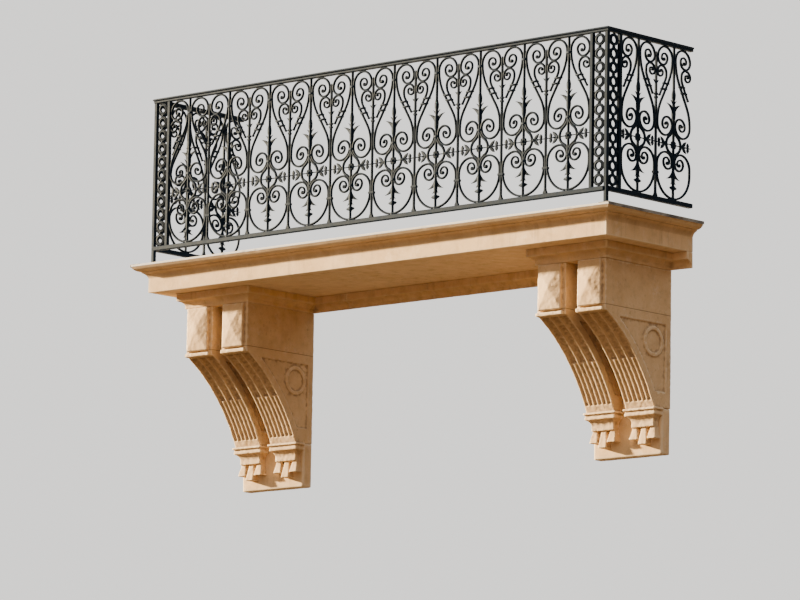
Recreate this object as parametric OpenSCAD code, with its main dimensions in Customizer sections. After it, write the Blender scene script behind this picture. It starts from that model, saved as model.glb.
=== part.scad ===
// Stone balcony with a scrolled iron railing, for a town house front.
// X runs along the front, Y runs into the wall and Z is up.
// The wall's face is Y = 0, and the origin is the middle of the slab's back face.

/* [Railing] */
// Width over the outer faces of the two corner posts
rail_w = 3594; // [2800:2:4400]
// Reach of the railing from the wall to the outer face of the posts
rail_d = 768; // [600:2:1000]
// Height of the railing over the slab
rail_h = 1030; // [980:5:1100]
// Thickness of a corner post
post_t = 24; // [18:1:32]
// Width of a corner pilaster over the corner post and its inner post
pilaster_w = 134; // [110:1:160]
// Scroll panels on the front
front_panels = 10; // [8:1:12]
// Scroll panels on each return
side_panels = 2; // [2:1:3]
// Depth of the handrail
handrail_w = 40; // [34:1:50]
// Height of the handrail
handrail_t = 29; // [18:1:36]
// Bevel along the handrail's upper edges
handrail_bevel = 7; // [3:0.5:10]
// Depth of the bottom rail
bottom_rail_w = 33; // [26:1:40]
// Height of the bottom rail
bottom_rail_t = 26; // [18:1:32]
// Open height between the slab and the bottom rail
foot_gap = 88; // [60:1:130]

/* [Scrollwork] */
// Width of the upright bars
bar_w = 12; // [10:0.5:14]
// Width of the scrolled strips
strip_w = 12; // [10:0.5:14]
// Depth of the bars and strips
bar_d = 16; // [12:0.5:20]
// Space between a large scroll and the bars beside it
scroll_gap = 2.5; // [1:0.5:4]
// Length of straight strip above the lower bowl of the large scroll
shoulder = 14; // [5:1:25]
// How many times steeper the large scroll's straight leans than a line between its two bends
lean_share = 1.48; // [1.2:0.01:1.7]
// Share of the bending that the upper bend takes
neck_share = 0.56; // [0.4:0.01:0.6]
// Radius of the small heart scroll
heart_r = 39.5; // [34:0.5:44]
// Radius of the bend in the heart scroll's stem
heart_bend_r = 75; // [50:1:100]
// Space between the heart scroll's tail and the outer bar
tail_gap = 20; // [12:1:40]
// Radius of the knee in the lower scroll
knee_r = 57; // [45:1:62]
// Straight rise of the lower scroll beside the outer bar
knee_rise = 23; // [5:1:40]
// Height of the lozenge between the upper and the lower scrolls
lozenge_h = 97; // [80:1:120]
// Width of the lozenge between the axes of its sides
lozenge_w = 128; // [110:1:140]
// Width of the lozenge's sides
lozenge_strip_w = 15; // [12:0.5:16]
// Radius of the large scroll's end bulb
bulb_r = 11; // [8:0.5:12]
// Radius of the small bulbs
small_bulb_r = 9; // [6:0.5:10]
// Radius of the rosette
rosette_r = 19; // [14:0.5:24]
// Thickness of the thin links
link_t = 6; // [4:0.5:8]
// Half the width of a collar
collar_w = 21; // [19:0.5:24]
// Height of a collar
collar_h = 14; // [8:0.5:20]
// Thickness that a collar stands proud of the bars
collar_t = 2; // [1:0.5:4]
// Height of a tie between the heart scroll and the large scroll
tie_h = 8; // [5:0.5:12]
// Overlap where two strips are welded together
weld = 1; // [0.5:0.1:2]
// Space between neighbouring castings
seat = 0.4; // [0.2:0.1:1]

/* [Pilasters] */
// Rings in each pilaster
rings = 11; // [8:1:13]
// Width of a ring's strip
ring_t = 17.5; // [8:0.5:24]
// Space between a ring and the posts beside it
ring_gap = 7.5; // [4:0.5:12]
// Radius of the bead between two rings
bead_r = 10; // [6:0.5:12]

/* [Slab] */
// Thickness of the slab
slab_t = 167; // [120:1:220]
// Reach of the top edge beyond the railing
edge_out = 87; // [60:1:110]
// Height of the square top edge
edge_t = 12; // [8:1:20]
// Reach of the fillet under the ovolo
fillet_out = 40; // [30:1:50]
// Depth of the fillet below the slab's top
fillet_drop = 42; // [34:1:50]
// Height of the fillet
fillet_t = 6; // [3:1:8]
// Reach of the fascia beyond the railing
fascia_out = 8; // [0:1:20]
// Depth of the fascia's upper edge below the slab's top
fascia_drop = 82; // [70:1:100]
// Thickness of the sheet over the slab's ends
sheet_t = 3; // [1:0.5:5]
// Depth of the sheet's turned-down lip
sheet_lip = 14; // [8:1:20]
// Space between the bedding and the sheet
sheet_gap = 2; // [1:1:30]
// Height of the bedding round a post's foot
foot_t = 14; // [8:1:24]
// Width of the bedding beside the post
foot_out = 12; // [6:1:20]

/* [Bed moulding] */
// Height of the moulding under the slab
bed_h = 93; // [70:1:130]
// Reach of its upper band
band_out = 50; // [35:1:70]
// Height of its upper band
band_h = 46; // [30:1:70]
// Reach of its lower fillet
bed_fillet_out = 11; // [6:1:20]
// Height of its lower fillet
bed_fillet_h = 20; // [10:1:30]
// Length of wall moulding that is cut from the same stones as each head
return_run = 300; // [150:10:600]

/* [Corbels] */
// Distance of the outermost corbel face from the balcony's middle line
pair_out = 1650; // [1300:5:1760]
// Thickness of one corbel
corbel_w = 210; // [170:1:240]
// Space between the two corbels of a pair
pair_gap = 86; // [50:1:120]
// Reach of a corbel's head from the wall
head_out = 590; // [480:1:700]
// Height of a corbel's head below the bed moulding
head_h = 299; // [240:1:330]
// Reach of the curved band where it leaves the head
band_top_out = 575; // [460:1:590]
// Reach of the curved band at its foot
band_foot_out = 145; // [110:1:180]
// Height of the curved band
band_drop = 503; // [420:1:600]
// Radius of the curved band
band_r = 1100; // [800:1:1400]
// Flutes in the upper part of the band, each of which becomes two reeds below
flutes = 3; // [2:1:4]
// Length of the flutes, measured down from the head
flute_drop = 238; // [150:1:300]
// Plain height at the top of the flutes
stop_h = 6; // [4:1:14]
// Height by which the reeds run up into the flutes
reed_lap = 8; // [2:1:20]
// Plain height between the reeds and the capital
plain_h = 38; // [20:1:60]
// Width of the arris left at each side of the band
arris_w = 10; // [6:1:20]
// Width of the ridges between the flutes
ridge_w = 9; // [5:1:14]
// Depth of the flutes
flute_t = 19; // [6:1:22]
// Depth of the reeds
reed_t = 7; // [4:1:10]
// Width of the raised panel on a head
panel_w = 168; // [130:1:190]
// Height of the raised panel
panel_h = 265; // [210:1:280]
// Thickness of the raised panel's edge
panel_t = 22; // [6:1:30]
// Rise of the panel's point
point_t = 24; // [10:1:44]
// Height of the plain strip over the raised panel
panel_drop = 2; // [1:1:12]
// Height of the fillet under the raised panel
lip_h = 21; // [12:1:26]
// Width of that fillet
lip_w = 194; // [150:1:200]
// Height of the capital at the foot of the band
cap_h = 41; // [30:1:60]
// Reach of the capital beyond the band
cap_out = 14; // [12:1:30]
// Height of each fillet of the capital
cap_fillet_h = 14; // [8:1:18]
// Height of the neck block under the capital
neck_h = 65; // [40:1:90]
// Set-back of the neck block
neck_in = 22; // [6:1:30]
// Length of the middle drop
drop_h = 100; // [70:1:130]
// Length that the outer drops fall short of the middle one
drop_short = 30; // [0:1:40]
// Width of a drop at its top
drop_w = 34; // [24:1:50]
// Width that a drop gains towards its foot
drop_flare = 26; // [0:1:34]
// Depth of the sunk panel in a corbel's side
sunk_t = 8; // [4:1:16]
// Width of the margin round the sunk panel, at the wall and along the band
sunk_margin = 46; // [24:1:60]
// Height of the margin between the head and the sunk panel
sunk_drop = 21; // [10:1:50]
// Radius of the roundel in the sunk panel
roundel_r = 88; // [40:1:95]
// Width of the roundel's rim
rim_w = 22; // [8:1:34]
// Space between the roundel and the sunk panel's edges
roundel_gap = 18; // [8:1:40]
// Reach of the backing pier from the wall
pier_out = 75; // [40:1:90]
// Length that the backing pier runs below the drops
pier_run = 60; // [20:5:200]

/* [Hidden] */
$fn = 96;

// Levels of the railing
slab_top = slab_t / 2;
rail_top = slab_top + rail_h;
rail_under = rail_top - handrail_t;
sill_foot = slab_top + foot_gap;
sill_top = sill_foot + bottom_rail_t;

// Lines of the railing in plan
axis_x = rail_w / 2 - post_t / 2;
axis_y = -(rail_d - post_t / 2);
front_run = rail_w / 2 - pilaster_w + bar_w / 2;
front_half = front_run / front_panels;
side_run = rail_d - pilaster_w + bar_w / 2;
side_half = side_run / side_panels / 2;

// Turns of the scrolls as shares of their first radius, and the sweep of each last turn
large_turns = [1, 0.65, 0.39, 0.23];
large_sweep = 120;
bowl_turns = [0.665, 0.39, 0.19];
bowl_sweep = 170;
heart_turns = [1, 0.595, 0.38];
heart_sweep = 160;
knee_turns = [0.684, 0.465, 0.23];
knee_sweep = 125;

// Angle above or below level at which the lozenge's sides run into the middle bar
merge_a = 12;

// Overrun of a cut beyond the face that it opens
over = 2;

// Levels of the stone below the slab
bed_top = -slab_t / 2;
bed_foot = bed_top - bed_h;
head_foot = bed_foot - head_h;
band_foot = head_foot - band_drop;
cap_foot = band_foot - cap_h;
neck_foot = cap_foot - neck_h;
pier_foot = neck_foot - drop_h - pier_run;
pair_w = 2 * corbel_w + pair_gap;

// Inner edge of the sheet over the slab's end
sheet_x = rail_w / 2 + foot_out + sheet_gap;

// Points of a flat arc from p to q that bows out by sag, without p itself
function bow(p, q, sag, steps = 6) =
    let (
        chord = norm(q - p),
        along = (q - p) / chord,
        across = [-along[1], along[0]],
        r = (chord * chord / 4 + sag * sag) / (2 * abs(sag)),
        half = asin(chord / 2 / r)
    )
    [for (i = [1:steps]) let (a = half * (2 * i / steps - 1))
        (p + q) / 2 + along * r * sin(a) + across * sign(sag) * r * (cos(a) - cos(half))];

// Centre of the circle of radius r through p and q, on the left of the way from p to q
function arc_centre(p, q, r) =
    let (chord = norm(q - p), along = (q - p) / chord)
    (p + q) / 2 + [-along[1], along[0]] * sqrt(r * r - chord * chord / 4);

// Radius that makes a side bend touch a circle of radius r, offset a across and b up
function side_bend(a, b, r) = (a * a + b * b - r * r) / (2 * (r - a));

// Part of a ring between two angles, less than a full turn apart
module arc_strip(centre, r, from, to, w = strip_w) {
    reach = 2 * (r + w);
    span = to - from;
    translate(centre) intersection() {
        difference() {
            circle(r = r + w / 2);
            circle(r = r - w / 2);
        }
        polygon(concat([[0, 0]], [for (i = [0:4]) reach * [cos(from + span * i / 4), sin(from + span * i / 4)]]));
    }
}

// Straight strip from p to q
module strip(p, q, w = strip_w) {
    translate(p) rotate(atan2(q[1] - p[1], q[0] - p[0]))
        translate([0, -w / 2]) square([norm(q - p), w]);
}

// Distance from a coil's start to the start of its half ring i, counted inwards
function coil_shift(r, turns, i) =
    i == 0 ? 0 : coil_shift(r, turns, i - 1) + (i % 2 == 1 ? 2 : -2) * r * turns[i - 1];

// Chain of half rings that winds inwards from the point start and ends in a bulb.
// side is 1 where the coil lies on the start's right and -1 on its left; up is 1 where it begins upwards.
// Its last turn is swept by the angle sweep
module coil(start, r, turns, side, up, sweep, bulb) {
    last = len(turns) - 1;
    for (i = [0:last]) {
        turn_r = r * turns[i];
        way = side * (i % 2 == 0 ? 1 : -1);
        rise = up * (i % 2 == 0 ? 1 : -1);
        centre = [start[0] + side * coil_shift(r, turns, i) + way * turn_r, start[1]];
        begin = way > 0 ? 180 : 0;
        turned = (i == last ? sweep : 180) * -way * rise;
        arc_strip(centre, turn_r, min(begin, begin + turned), max(begin, begin + turned));
        if (i == last)
            translate(centre + (turn_r + strip_w / 2 - bulb + weld / 2) * [cos(begin + turned), sin(begin + turned)])
                circle(r = bulb);
    }
}

// Disc that closes the joint of two strips that don't meet on a level line
module joint_disc(p, w = strip_w) {
    translate(p) circle(r = w / 2 + weld / 2);
}

// Leaf from p to the tip q, whose two edges bow out by high and low on the same side
module leaf(p, q, high, low) {
    polygon(concat([p], bow(p, q, high, 6), bow(q, p, -low, 6)));
}

// Sizes that the parts of one panel share, worked out from half the width of its cell
function large_r(half) = (half - bar_w - strip_w) / 2 - scroll_gap;
function large_z(half) = rail_under - seat - strip_w / 2 - large_r(half);
function bowl_r(half) = half - bar_w / 2 - seat - strip_w / 2;
function bowl_z(half) = sill_top + seat + strip_w / 2 + bowl_r(half);
function knee_x() = -(bar_w / 2 + strip_w / 2 - weld) - knee_r;
// Straight run from the lower bowl to the knee, longer in a narrower cell so that all rosettes are level
function knee_run(half) = knee_rise + 2 * (front_half - half);
function knee_z(half) = bowl_z(half) + knee_run(half) + bowl_r(half) + knee_x() - knee_r;
function low_z(half) = knee_z(half) + knee_r + lozenge_h + large_r(half);
function mid_z(half) = knee_z(half) + knee_r + lozenge_h / 2;
function hip_z(half) = low_z(half) + shoulder;
function fall(half) = large_z(half) - hip_z(half);
function tilt(half) = lean_share * atan(2 * large_r(half) / fall(half));
function bends_r(half) = (fall(half) * sin(tilt(half)) - 2 * large_r(half) * cos(tilt(half)))
    / (1 - cos(tilt(half)));
function neck_r(half) = neck_share * bends_r(half);
function hip_r(half) = bends_r(half) - neck_r(half);
function heart_z(half) = large_z(half) - (large_turns[1] * large_r(half) + strip_w / 2) - heart_r;
function bend_z(half) = heart_z(half) - strip_w / 2 - heart_bend_r * sin(tilt(half));
function bend_x(half) = 2 * heart_r - bowl_r(half) - heart_bend_r * (1 - cos(tilt(half)));
function tail_x(half) = -(half - bar_w / 2 - tail_gap - strip_w / 2);
function tail_z(half) = bend_z(half) - (bend_x(half) - tail_x(half)) / tan(tilt(half));

// Lower scroll, which stands on the bottom rail
module lower_scroll(half) {
    r = bowl_r(half);
    z = bowl_z(half);
    arc_strip([0, z], r, 180, 270);
    strip([-r, z], [-r, z + knee_run(half)]);
    arc_strip([knee_x(), z + knee_run(half)], r + knee_x(), 90, 180);
    arc_strip([knee_x(), knee_z(half)], knee_r, 0, 90);
    coil([knee_x() + knee_r, knee_z(half)], knee_r, knee_turns, -1, -1, knee_sweep, bulb_r);
}

// Large scroll, from the coil under the handrail to the coil in its lower bowl
module large_scroll(half) {
    r = large_r(half);
    inner_x = -(bar_w / 2 + scroll_gap + strip_w / 2);
    outer_x = inner_x - 2 * r;
    a = tilt(half);
    neck_end = [inner_x - neck_r(half) * (1 - cos(a)), large_z(half) - neck_r(half) * sin(a)];
    hip_end = [outer_x + hip_r(half) * (1 - cos(a)), hip_z(half) + hip_r(half) * sin(a)];
    coil([inner_x, large_z(half)], r, large_turns, -1, 1, large_sweep, bulb_r);
    arc_strip([inner_x - neck_r(half), large_z(half)], neck_r(half), -a, 0);
    joint_disc(neck_end);
    strip(neck_end, hip_end);
    joint_disc(hip_end);
    arc_strip([outer_x + hip_r(half), hip_z(half)], hip_r(half), 180 - a, 180);
    strip([outer_x, hip_z(half)], [outer_x, low_z(half)]);
    arc_strip([inner_x - r, low_z(half)], r, 180, 360);
    coil([inner_x, low_z(half)], r, bowl_turns, -1, 1, bowl_sweep, small_bulb_r);
}

// Heart scroll, which hangs under the large scroll's coil beside the outer bar, and its two ties
module heart_scroll(half) {
    a = tilt(half);
    stem_x = 2 * heart_r - bowl_r(half);
    stem_z = heart_z(half) - strip_w / 2;
    bend_end = [bend_x(half), bend_z(half)];
    tail_end = [tail_x(half), tail_z(half)];
    coil([stem_x, heart_z(half)], heart_r, heart_turns, -1, 1, heart_sweep, small_bulb_r);
    strip([stem_x, heart_z(half)], [stem_x, stem_z]);
    arc_strip([stem_x - heart_bend_r, stem_z], heart_bend_r, -a, 0);
    joint_disc(bend_end);
    strip(bend_end, tail_end);
    joint_disc(tail_end);
    inner_x = -(bar_w / 2 + scroll_gap + strip_w / 2);
    neck_end = [inner_x - neck_r(half) * (1 - cos(a)), large_z(half) - neck_r(half) * sin(a)];
    for (down = [0.2, 0.58]) {
        z = bend_z(half) - down * (bend_z(half) - tail_z(half));
        from = bend_end[0] - (bend_end[1] - z) * tan(a) - strip_w / 2 - collar_t;
        to = neck_end[0] - (neck_end[1] - z) * tan(a) + strip_w / 2 + collar_t;
        translate([from, z - tie_h / 2]) square([to - from, tie_h]);
    }
}

// Side of the lozenge, which leans on the large scroll above and on the knee below
module lozenge_side(half) {
    side_x = -lozenge_w / 2;
    mid_x = -half / 2;
    z = mid_z(half);
    w = lozenge_strip_w;
    high_r = large_r(half) + (strip_w + w) / 2 - weld;
    high_bend = side_bend(side_x - mid_x, low_z(half) - z, high_r);
    high_a = atan2(low_z(half) - z, mid_x - side_x - high_bend);
    low_r = knee_r + (strip_w + w) / 2 - weld;
    low_bend = side_bend(side_x - knee_x(), z - knee_z(half), low_r);
    low_a = atan2(z - knee_z(half), knee_x() - side_x - low_bend);
    high_centre = [side_x + high_bend, z];
    low_centre = [side_x + low_bend, z];
    arc_strip(high_centre, high_bend, high_a, 180, w);
    joint_disc(high_centre + high_bend * [cos(high_a), sin(high_a)], w);
    arc_strip([mid_x, low_z(half)], high_r, high_a - 180, -merge_a, w);
    arc_strip(low_centre, low_bend, 180, 360 - low_a, w);
    joint_disc(low_centre + low_bend * [cos(low_a), -sin(low_a)], w);
    arc_strip([knee_x(), knee_z(half)], low_r, merge_a, 180 - low_a, w);
}

// Link from the middle bar to the outer bar, with a pair of petals and a knob
module fleuron(half) {
    side_x = -lozenge_w / 2;
    translate([0, mid_z(half)]) {
        translate([-(half - bar_w / 2 - seat), -link_t / 2]) square([half - bar_w / 2 - seat, link_t]);
        for (flip = [0, 1]) mirror([0, flip]) {
            leaf([side_x - 13, 0], [side_x - 52, 35], 11, -8);
            leaf([side_x - 66, -2], [side_x - 66, 30], 10, -10);
        }
    }
}

// Left half of one scroll panel, drawn upright on the panel's middle line
module half_panel(half) {
    lower_scroll(half);
    large_scroll(half);
    heart_scroll(half);
    lozenge_side(half);
    fleuron(half);
}

// Middle bar of a panel with its bud, leaves, rosette and knop
module middle_bar(half) {
    translate([-bar_w / 2, sill_top]) square([bar_w, rail_under - sill_top]);
    translate([0, mid_z(half)]) circle(r = rosette_r);
    bud_z = low_z(half) + 77;
    root_z = knee_z(half) - 52;
    for (flip = [0, 1]) mirror([flip, 0]) {
        leaf([0, bud_z - 46], [0, bud_z + 54], 3, -16);
        leaf([4, bud_z - 12], [57, bud_z + 38], 14, 2);
        leaf([2, bud_z + 44], [24, bud_z + 68], 5, -1);
        leaf([0, bud_z + 72], [0, bud_z + 134], 3, -13);
        leaf([0, root_z - 76], [0, root_z + 10], 3, -16);
        leaf([4, root_z], [54, root_z - 44], -17, -5);
        leaf([2, root_z - 92], [33, root_z - 92], 9, -9);
    }
}

// Levels of the collars on a middle bar
function collar_levels(half) = [large_z(half) - 13, low_z(half) - 11, knee_z(half) - 6];

// One whole panel, which fills a cell of twice the width half
module scroll_panel(half) {
    color("#2b2c2e") rotate([90, 0, 0]) {
        linear_extrude(bar_d, center = true) {
            middle_bar(half);
            half_panel(half);
            mirror([1, 0]) half_panel(half);
        }
        for (z = collar_levels(half))
            translate([-collar_w, z - collar_h / 2, -bar_d / 2 - collar_t])
                cube([2 * collar_w, collar_h, bar_d + 2 * collar_t]);
    }
}

// Pointed bar between two panels, with leaves, beads, a rod to both heart scrolls and a strap
module upright(half) {
    tip_z = large_z(half) + 29;
    point_h = 17;
    rod_x = half + tail_x(half) - strip_w / 2 - weld / 2 - seat;
    color("#2b2c2e") rotate([90, 0, 0]) {
        linear_extrude(bar_d, center = true) {
            translate([-bar_w / 2, sill_top]) square([bar_w, tip_z - point_h - sill_top]);
            polygon([[-bar_w / 2, tip_z - point_h], [0, tip_z], [bar_w / 2, tip_z - point_h]]);
            polygon([[-15, sill_top], [-15, sill_top + 7], [-bar_w / 2 + 1, sill_top + 30],
                [bar_w / 2 - 1, sill_top + 30], [15, sill_top + 7], [15, sill_top]]);
            translate([-rod_x, tail_z(half) - link_t / 2]) square([2 * rod_x, link_t]);
            for (down = [0, 20])
                translate([-16, tail_z(half) - down - 5]) square([32, 10]);
            for (flip = [0, 1]) mirror([flip, 0])
                leaf([2, heart_z(half) - 74], [25, heart_z(half) - 50], 8, -2);
        }
        for (side = [-1, 1])
            translate([-collar_w, bowl_z(half) - collar_h - 6, side * (bar_d / 2 + collar_t / 2) - collar_t / 2])
                cube([2 * collar_w, collar_h, collar_t]);
    }
}

// Rings and inner post of a pilaster, drawn with the corner post on the right
module pilaster() {
    ring_r = pilaster_w / 2 - post_t - ring_gap;
    ring_x = pilaster_w / 2 - bar_w / 2 - seat;
    pitch = (rail_under - sill_top) / rings;
    color("#2b2c2e") {
        translate([-bar_w / 2, -post_t / 2, sill_top]) cube([post_t, post_t, rail_under - sill_top]);
        rotate([90, 0, 0]) linear_extrude(bar_d, center = true) difference() {
            union() {
                for (i = [0:rings - 1]) translate([0, sill_top + (i + 0.5) * pitch]) {
                    translate([ring_x, 0]) circle(r = ring_r);
                    translate([post_t - bar_w / 2 - weld, -link_t / 2])
                        square([pilaster_w - 2 * post_t + weld - seat, link_t]);
                }
                intersection() {
                    for (i = [0:rings])
                        translate([ring_x, sill_top + i * pitch]) circle(r = bead_r);
                    translate([ring_x - bead_r, sill_top]) square([2 * bead_r, rail_under - sill_top]);
                }
            }
            for (i = [0:rings - 1])
                translate([ring_x, sill_top + (i + 0.5) * pitch]) circle(r = ring_r - ring_t);
        }
    }
}

// Corner post
module corner_post() {
    color("#303236") translate([axis_x - post_t / 2, axis_y - post_t / 2, slab_top])
        cube([post_t, post_t, rail_under - slab_top]);
}

// Outline of the handrail across its run, from its underside up
module handrail_outline() {
    w = handrail_w / 2;
    polygon([[-w, rail_under], [w, rail_under], [w, rail_top - handrail_bevel],
        [w - handrail_bevel, rail_top], [handrail_bevel - w, rail_top], [-w, rail_top - handrail_bevel]]);
}

// Handrail over the front, mitred at both corners
module front_handrail() {
    over = handrail_w / 2;
    color("#303236") intersection() {
        translate([0, axis_y, 0]) rotate([90, 0, 90])
            linear_extrude(2 * (axis_x + over), center = true) handrail_outline();
        linear_extrude(rail_top + 1) polygon([[-axis_x - over, axis_y - over], [axis_x + over, axis_y - over],
            [axis_x - over, axis_y + over], [over - axis_x, axis_y + over]]);
    }
}

// Handrail of the right return, mitred at the corner and square at the wall
module side_handrail() {
    over = handrail_w / 2;
    color("#303236") intersection() {
        translate([axis_x, 0, 0]) rotate([90, 0, 0])
            linear_extrude(over - axis_y) handrail_outline();
        linear_extrude(rail_top + 1) polygon([[axis_x + over, axis_y - over], [axis_x + over, 0],
            [axis_x - over, 0], [axis_x - over, axis_y + over]]);
    }
}

// Bottom rail of the front, between the corner posts
module front_bottom_rail() {
    color("#303236") translate([-axis_x + post_t / 2, axis_y - bottom_rail_w / 2, sill_foot])
        cube([2 * axis_x - post_t, bottom_rail_w, bottom_rail_t]);
}

// Bottom rail of the right return, from the corner post to the wall
module side_bottom_rail() {
    color("#303236") translate([axis_x - bottom_rail_w / 2, axis_y + post_t / 2, sill_foot])
        cube([bottom_rail_w, -axis_y - post_t / 2, bottom_rail_t]);
}

// Moves a front casting to the distance x from the middle line
module on_front(x) {
    translate([x, axis_y, 0]) children();
}

// Turns a casting onto the right return, at the distance y from the wall
module on_side(y) {
    translate([axis_x, -y, 0]) rotate([0, 0, 90]) children();
}

// Reach and depth of the slab's edge moulding, from its top down
function slab_edge() = concat(
    [[edge_out, 0], [edge_out, -edge_t]],
    bow([edge_out, -edge_t], [fillet_out, -fillet_drop], 8),
    [[fillet_out, -fillet_drop - fillet_t]],
    bow([fillet_out, -fillet_drop - fillet_t], [fascia_out, -fascia_drop], -6),
    [[fascia_out, -slab_t]]);

// Body of stone whose edge follows one outline round the front and both ends
module moulded_body(edge, top, half_w, reach) {
    intersection() {
        rotate([90, 0, 90]) linear_extrude(4 * half_w, center = true) polygon(concat(
            [[0, top]], [for (p = edge) [-(reach + p[0]), top + p[1]]], [[0, top + edge[len(edge) - 1][1]]]));
        rotate([90, 0, 0]) linear_extrude(4 * reach, center = true) polygon(concat(
            [for (p = edge) [half_w + p[0], top + p[1]]],
            [for (i = [len(edge) - 1:-1:0]) [-(half_w + edge[i][0]), top + edge[i][1]]]));
    }
}

// Slab with its edge moulding
module balcony_slab() {
    color("#d9bd93") moulded_body(slab_edge(), slab_top, rail_w / 2, rail_d);
}

// Metal sheet over each end of the slab, turned down over the edge
module slab_capping() {
    color("#6f7177") for (side = [0, 1]) mirror([side, 0, 0]) {
        translate([sheet_x, -rail_d - edge_out, slab_top])
            cube([rail_w / 2 + edge_out - sheet_x, rail_d + edge_out, sheet_t]);
        translate([rail_w / 2 + edge_out, -rail_d - edge_out, slab_top - sheet_lip])
            cube([sheet_t, rail_d + edge_out, sheet_lip + sheet_t]);
    }
}

// Bedding round the foot of each corner post
module post_feet() {
    w = post_t / 2;
    color("#b9b3a8") for (side = [0, 1]) mirror([side, 0, 0]) translate([axis_x, axis_y, slab_top]) difference() {
        intersection() {
            rotate([90, 0, 0]) linear_extrude(4 * w + 4 * foot_out, center = true) polygon([[-w - foot_out, 0],
                [w + foot_out, 0], [w + foot_out / 3, foot_t], [-w - foot_out / 3, foot_t]]);
            rotate([90, 0, 90]) linear_extrude(4 * w + 4 * foot_out, center = true) polygon([[-w - foot_out, 0],
                [w + foot_out, 0], [w + foot_out / 3, foot_t], [-w - foot_out / 3, foot_t]]);
        }
        translate([-w, -w, -over]) cube([post_t, post_t, foot_t + 2 * over]);
    }
}

// Reach and depth of the bed moulding, from its top down
function bed_edge() = concat(
    [[band_out, 0], [band_out, -band_h]],
    bow([band_out, -band_h], [bed_fillet_out, bed_fillet_h - bed_h], -7),
    [[bed_fillet_out, -bed_h]]);

// Stretch of the bed moulding along the wall
module wall_moulding(x0, x1) {
    translate([x0, 0, 0]) rotate([90, 0, 90]) linear_extrude(x1 - x0) polygon(concat(
        [[0, bed_top]], [for (p = bed_edge()) [-p[0], bed_top + p[1]]], [[0, bed_foot]]));
}

// Bed moulding round the head of the right pair of corbels, with its stretches of wall moulding
module bed_mould() {
    color("#d6b98d") {
        translate([pair_out - pair_w / 2, 0, 0]) moulded_body(bed_edge(), bed_top, pair_w / 2, head_out);
        wall_moulding(pair_out - pair_w - return_run, pair_out - pair_w / 2);
        wall_moulding(pair_out - pair_w / 2, rail_w / 2 + fascia_out);
    }
}

// Pyramid on a rectangle in the X-Z plane that points towards the street
module diamond_point(w, h, t) {
    intersection() {
        rotate([90, 0, 90]) linear_extrude(w, center = true) polygon([[0, -h / 2], [-t, 0], [0, h / 2]]);
        linear_extrude(h, center = true) polygon([[-w / 2, 0], [w / 2, 0], [0, -t]]);
    }
}

// Centre of the curved band's arc, in distance from the wall and level
function band_centre() = arc_centre([band_top_out, head_foot], [band_foot_out, band_foot], band_r);

// Side outline of a corbel's curved bracket, in distance from the wall and level
module bracket_outline(margin, drop) {
    difference() {
        translate([margin, band_foot + 2 * margin])
            square([band_top_out - margin, band_drop - 2 * margin - drop]);
        translate(band_centre()) circle(r = band_r + margin, $fn = 360);
    }
}

// Angle of the band's arc at the level z, from straight down towards the wall
function band_angle(z) = acos((band_centre()[1] - z) / band_r);

// Round groove along the band at x, between the levels high and low
module groove(x, w, depth, high, low) {
    round_r = (w * w / 4 + depth * depth) / (2 * depth);
    from = band_angle(low);
    to = band_angle(high);
    translate([0, -band_centre()[0], band_centre()[1]]) rotate([0, 90, 0]) rotate(from)
        rotate_extrude(angle = to - from) translate([band_r + depth - round_r, x]) circle(r = round_r, $fn = 32);
}

// Side-by-side grooves over the band's width
module grooves(count, ridge, depth, high, low) {
    pitch = (corbel_w - 2 * arris_w + ridge) / count;
    for (i = [0:count - 1])
        groove((i - (count - 1) / 2) * pitch, pitch - ridge, depth, high, low);
}

// Sunk panel with a roundel, cut into one side of a corbel
module sunk_side() {
    centre = [sunk_margin + roundel_gap + roundel_r, head_foot - sunk_drop - roundel_gap - roundel_r];
    rotate([90, 0, -90]) linear_extrude(2 * sunk_t, center = true) difference() {
        bracket_outline(sunk_margin, sunk_drop);
        translate(centre) difference() {
            circle(r = roundel_r);
            circle(r = roundel_r - rim_w);
        }
    }
}

// Reach and depth of the capital and the neck, from the band's foot down
function capital_edge() = concat(
    [[cap_out, 0], [cap_out, -cap_fillet_h], [cap_out / 3, -cap_fillet_h], [cap_out / 3, cap_fillet_h - cap_h],
        [cap_out / 2, cap_fillet_h - cap_h], [cap_out / 2, -cap_h]],
    bow([cap_out / 2, -cap_h], [-neck_in, -cap_h - neck_h / 2], -6),
    [[-neck_in, -cap_h - neck_h]]);

// Drop under the neck, which flares towards its foot
module drop(x, h) {
    front = band_foot_out - neck_in;
    translate([x, 0, neck_foot]) intersection() {
        rotate([90, 0, 0]) linear_extrude(4 * front, center = true) polygon([[-drop_w / 2, 0], [drop_w / 2, 0],
            [(drop_w + drop_flare) / 2, -h], [-(drop_w + drop_flare) / 2, -h]]);
        rotate([90, 0, 90]) linear_extrude(2 * corbel_w, center = true) polygon([[-pier_out, 0],
            [-front + drop_flare / 2, 0], [-front - drop_flare / 4, -h], [-pier_out, -h]]);
    }
}

// Head of a corbel with its raised panel and lip
module corbel_head() {
    translate([-corbel_w / 2, -head_out, head_foot]) cube([corbel_w, head_out, head_h]);
    panel_z = bed_foot - panel_drop - panel_h / 2;
    translate([-panel_w / 2, -head_out - panel_t, panel_z - panel_h / 2]) cube([panel_w, panel_t, panel_h]);
    translate([0, -head_out - panel_t, panel_z]) diamond_point(panel_w, panel_h, point_t);
    translate([-lip_w / 2, -head_out - panel_t, head_foot]) cube([lip_w, panel_t, lip_h]);
}

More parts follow.
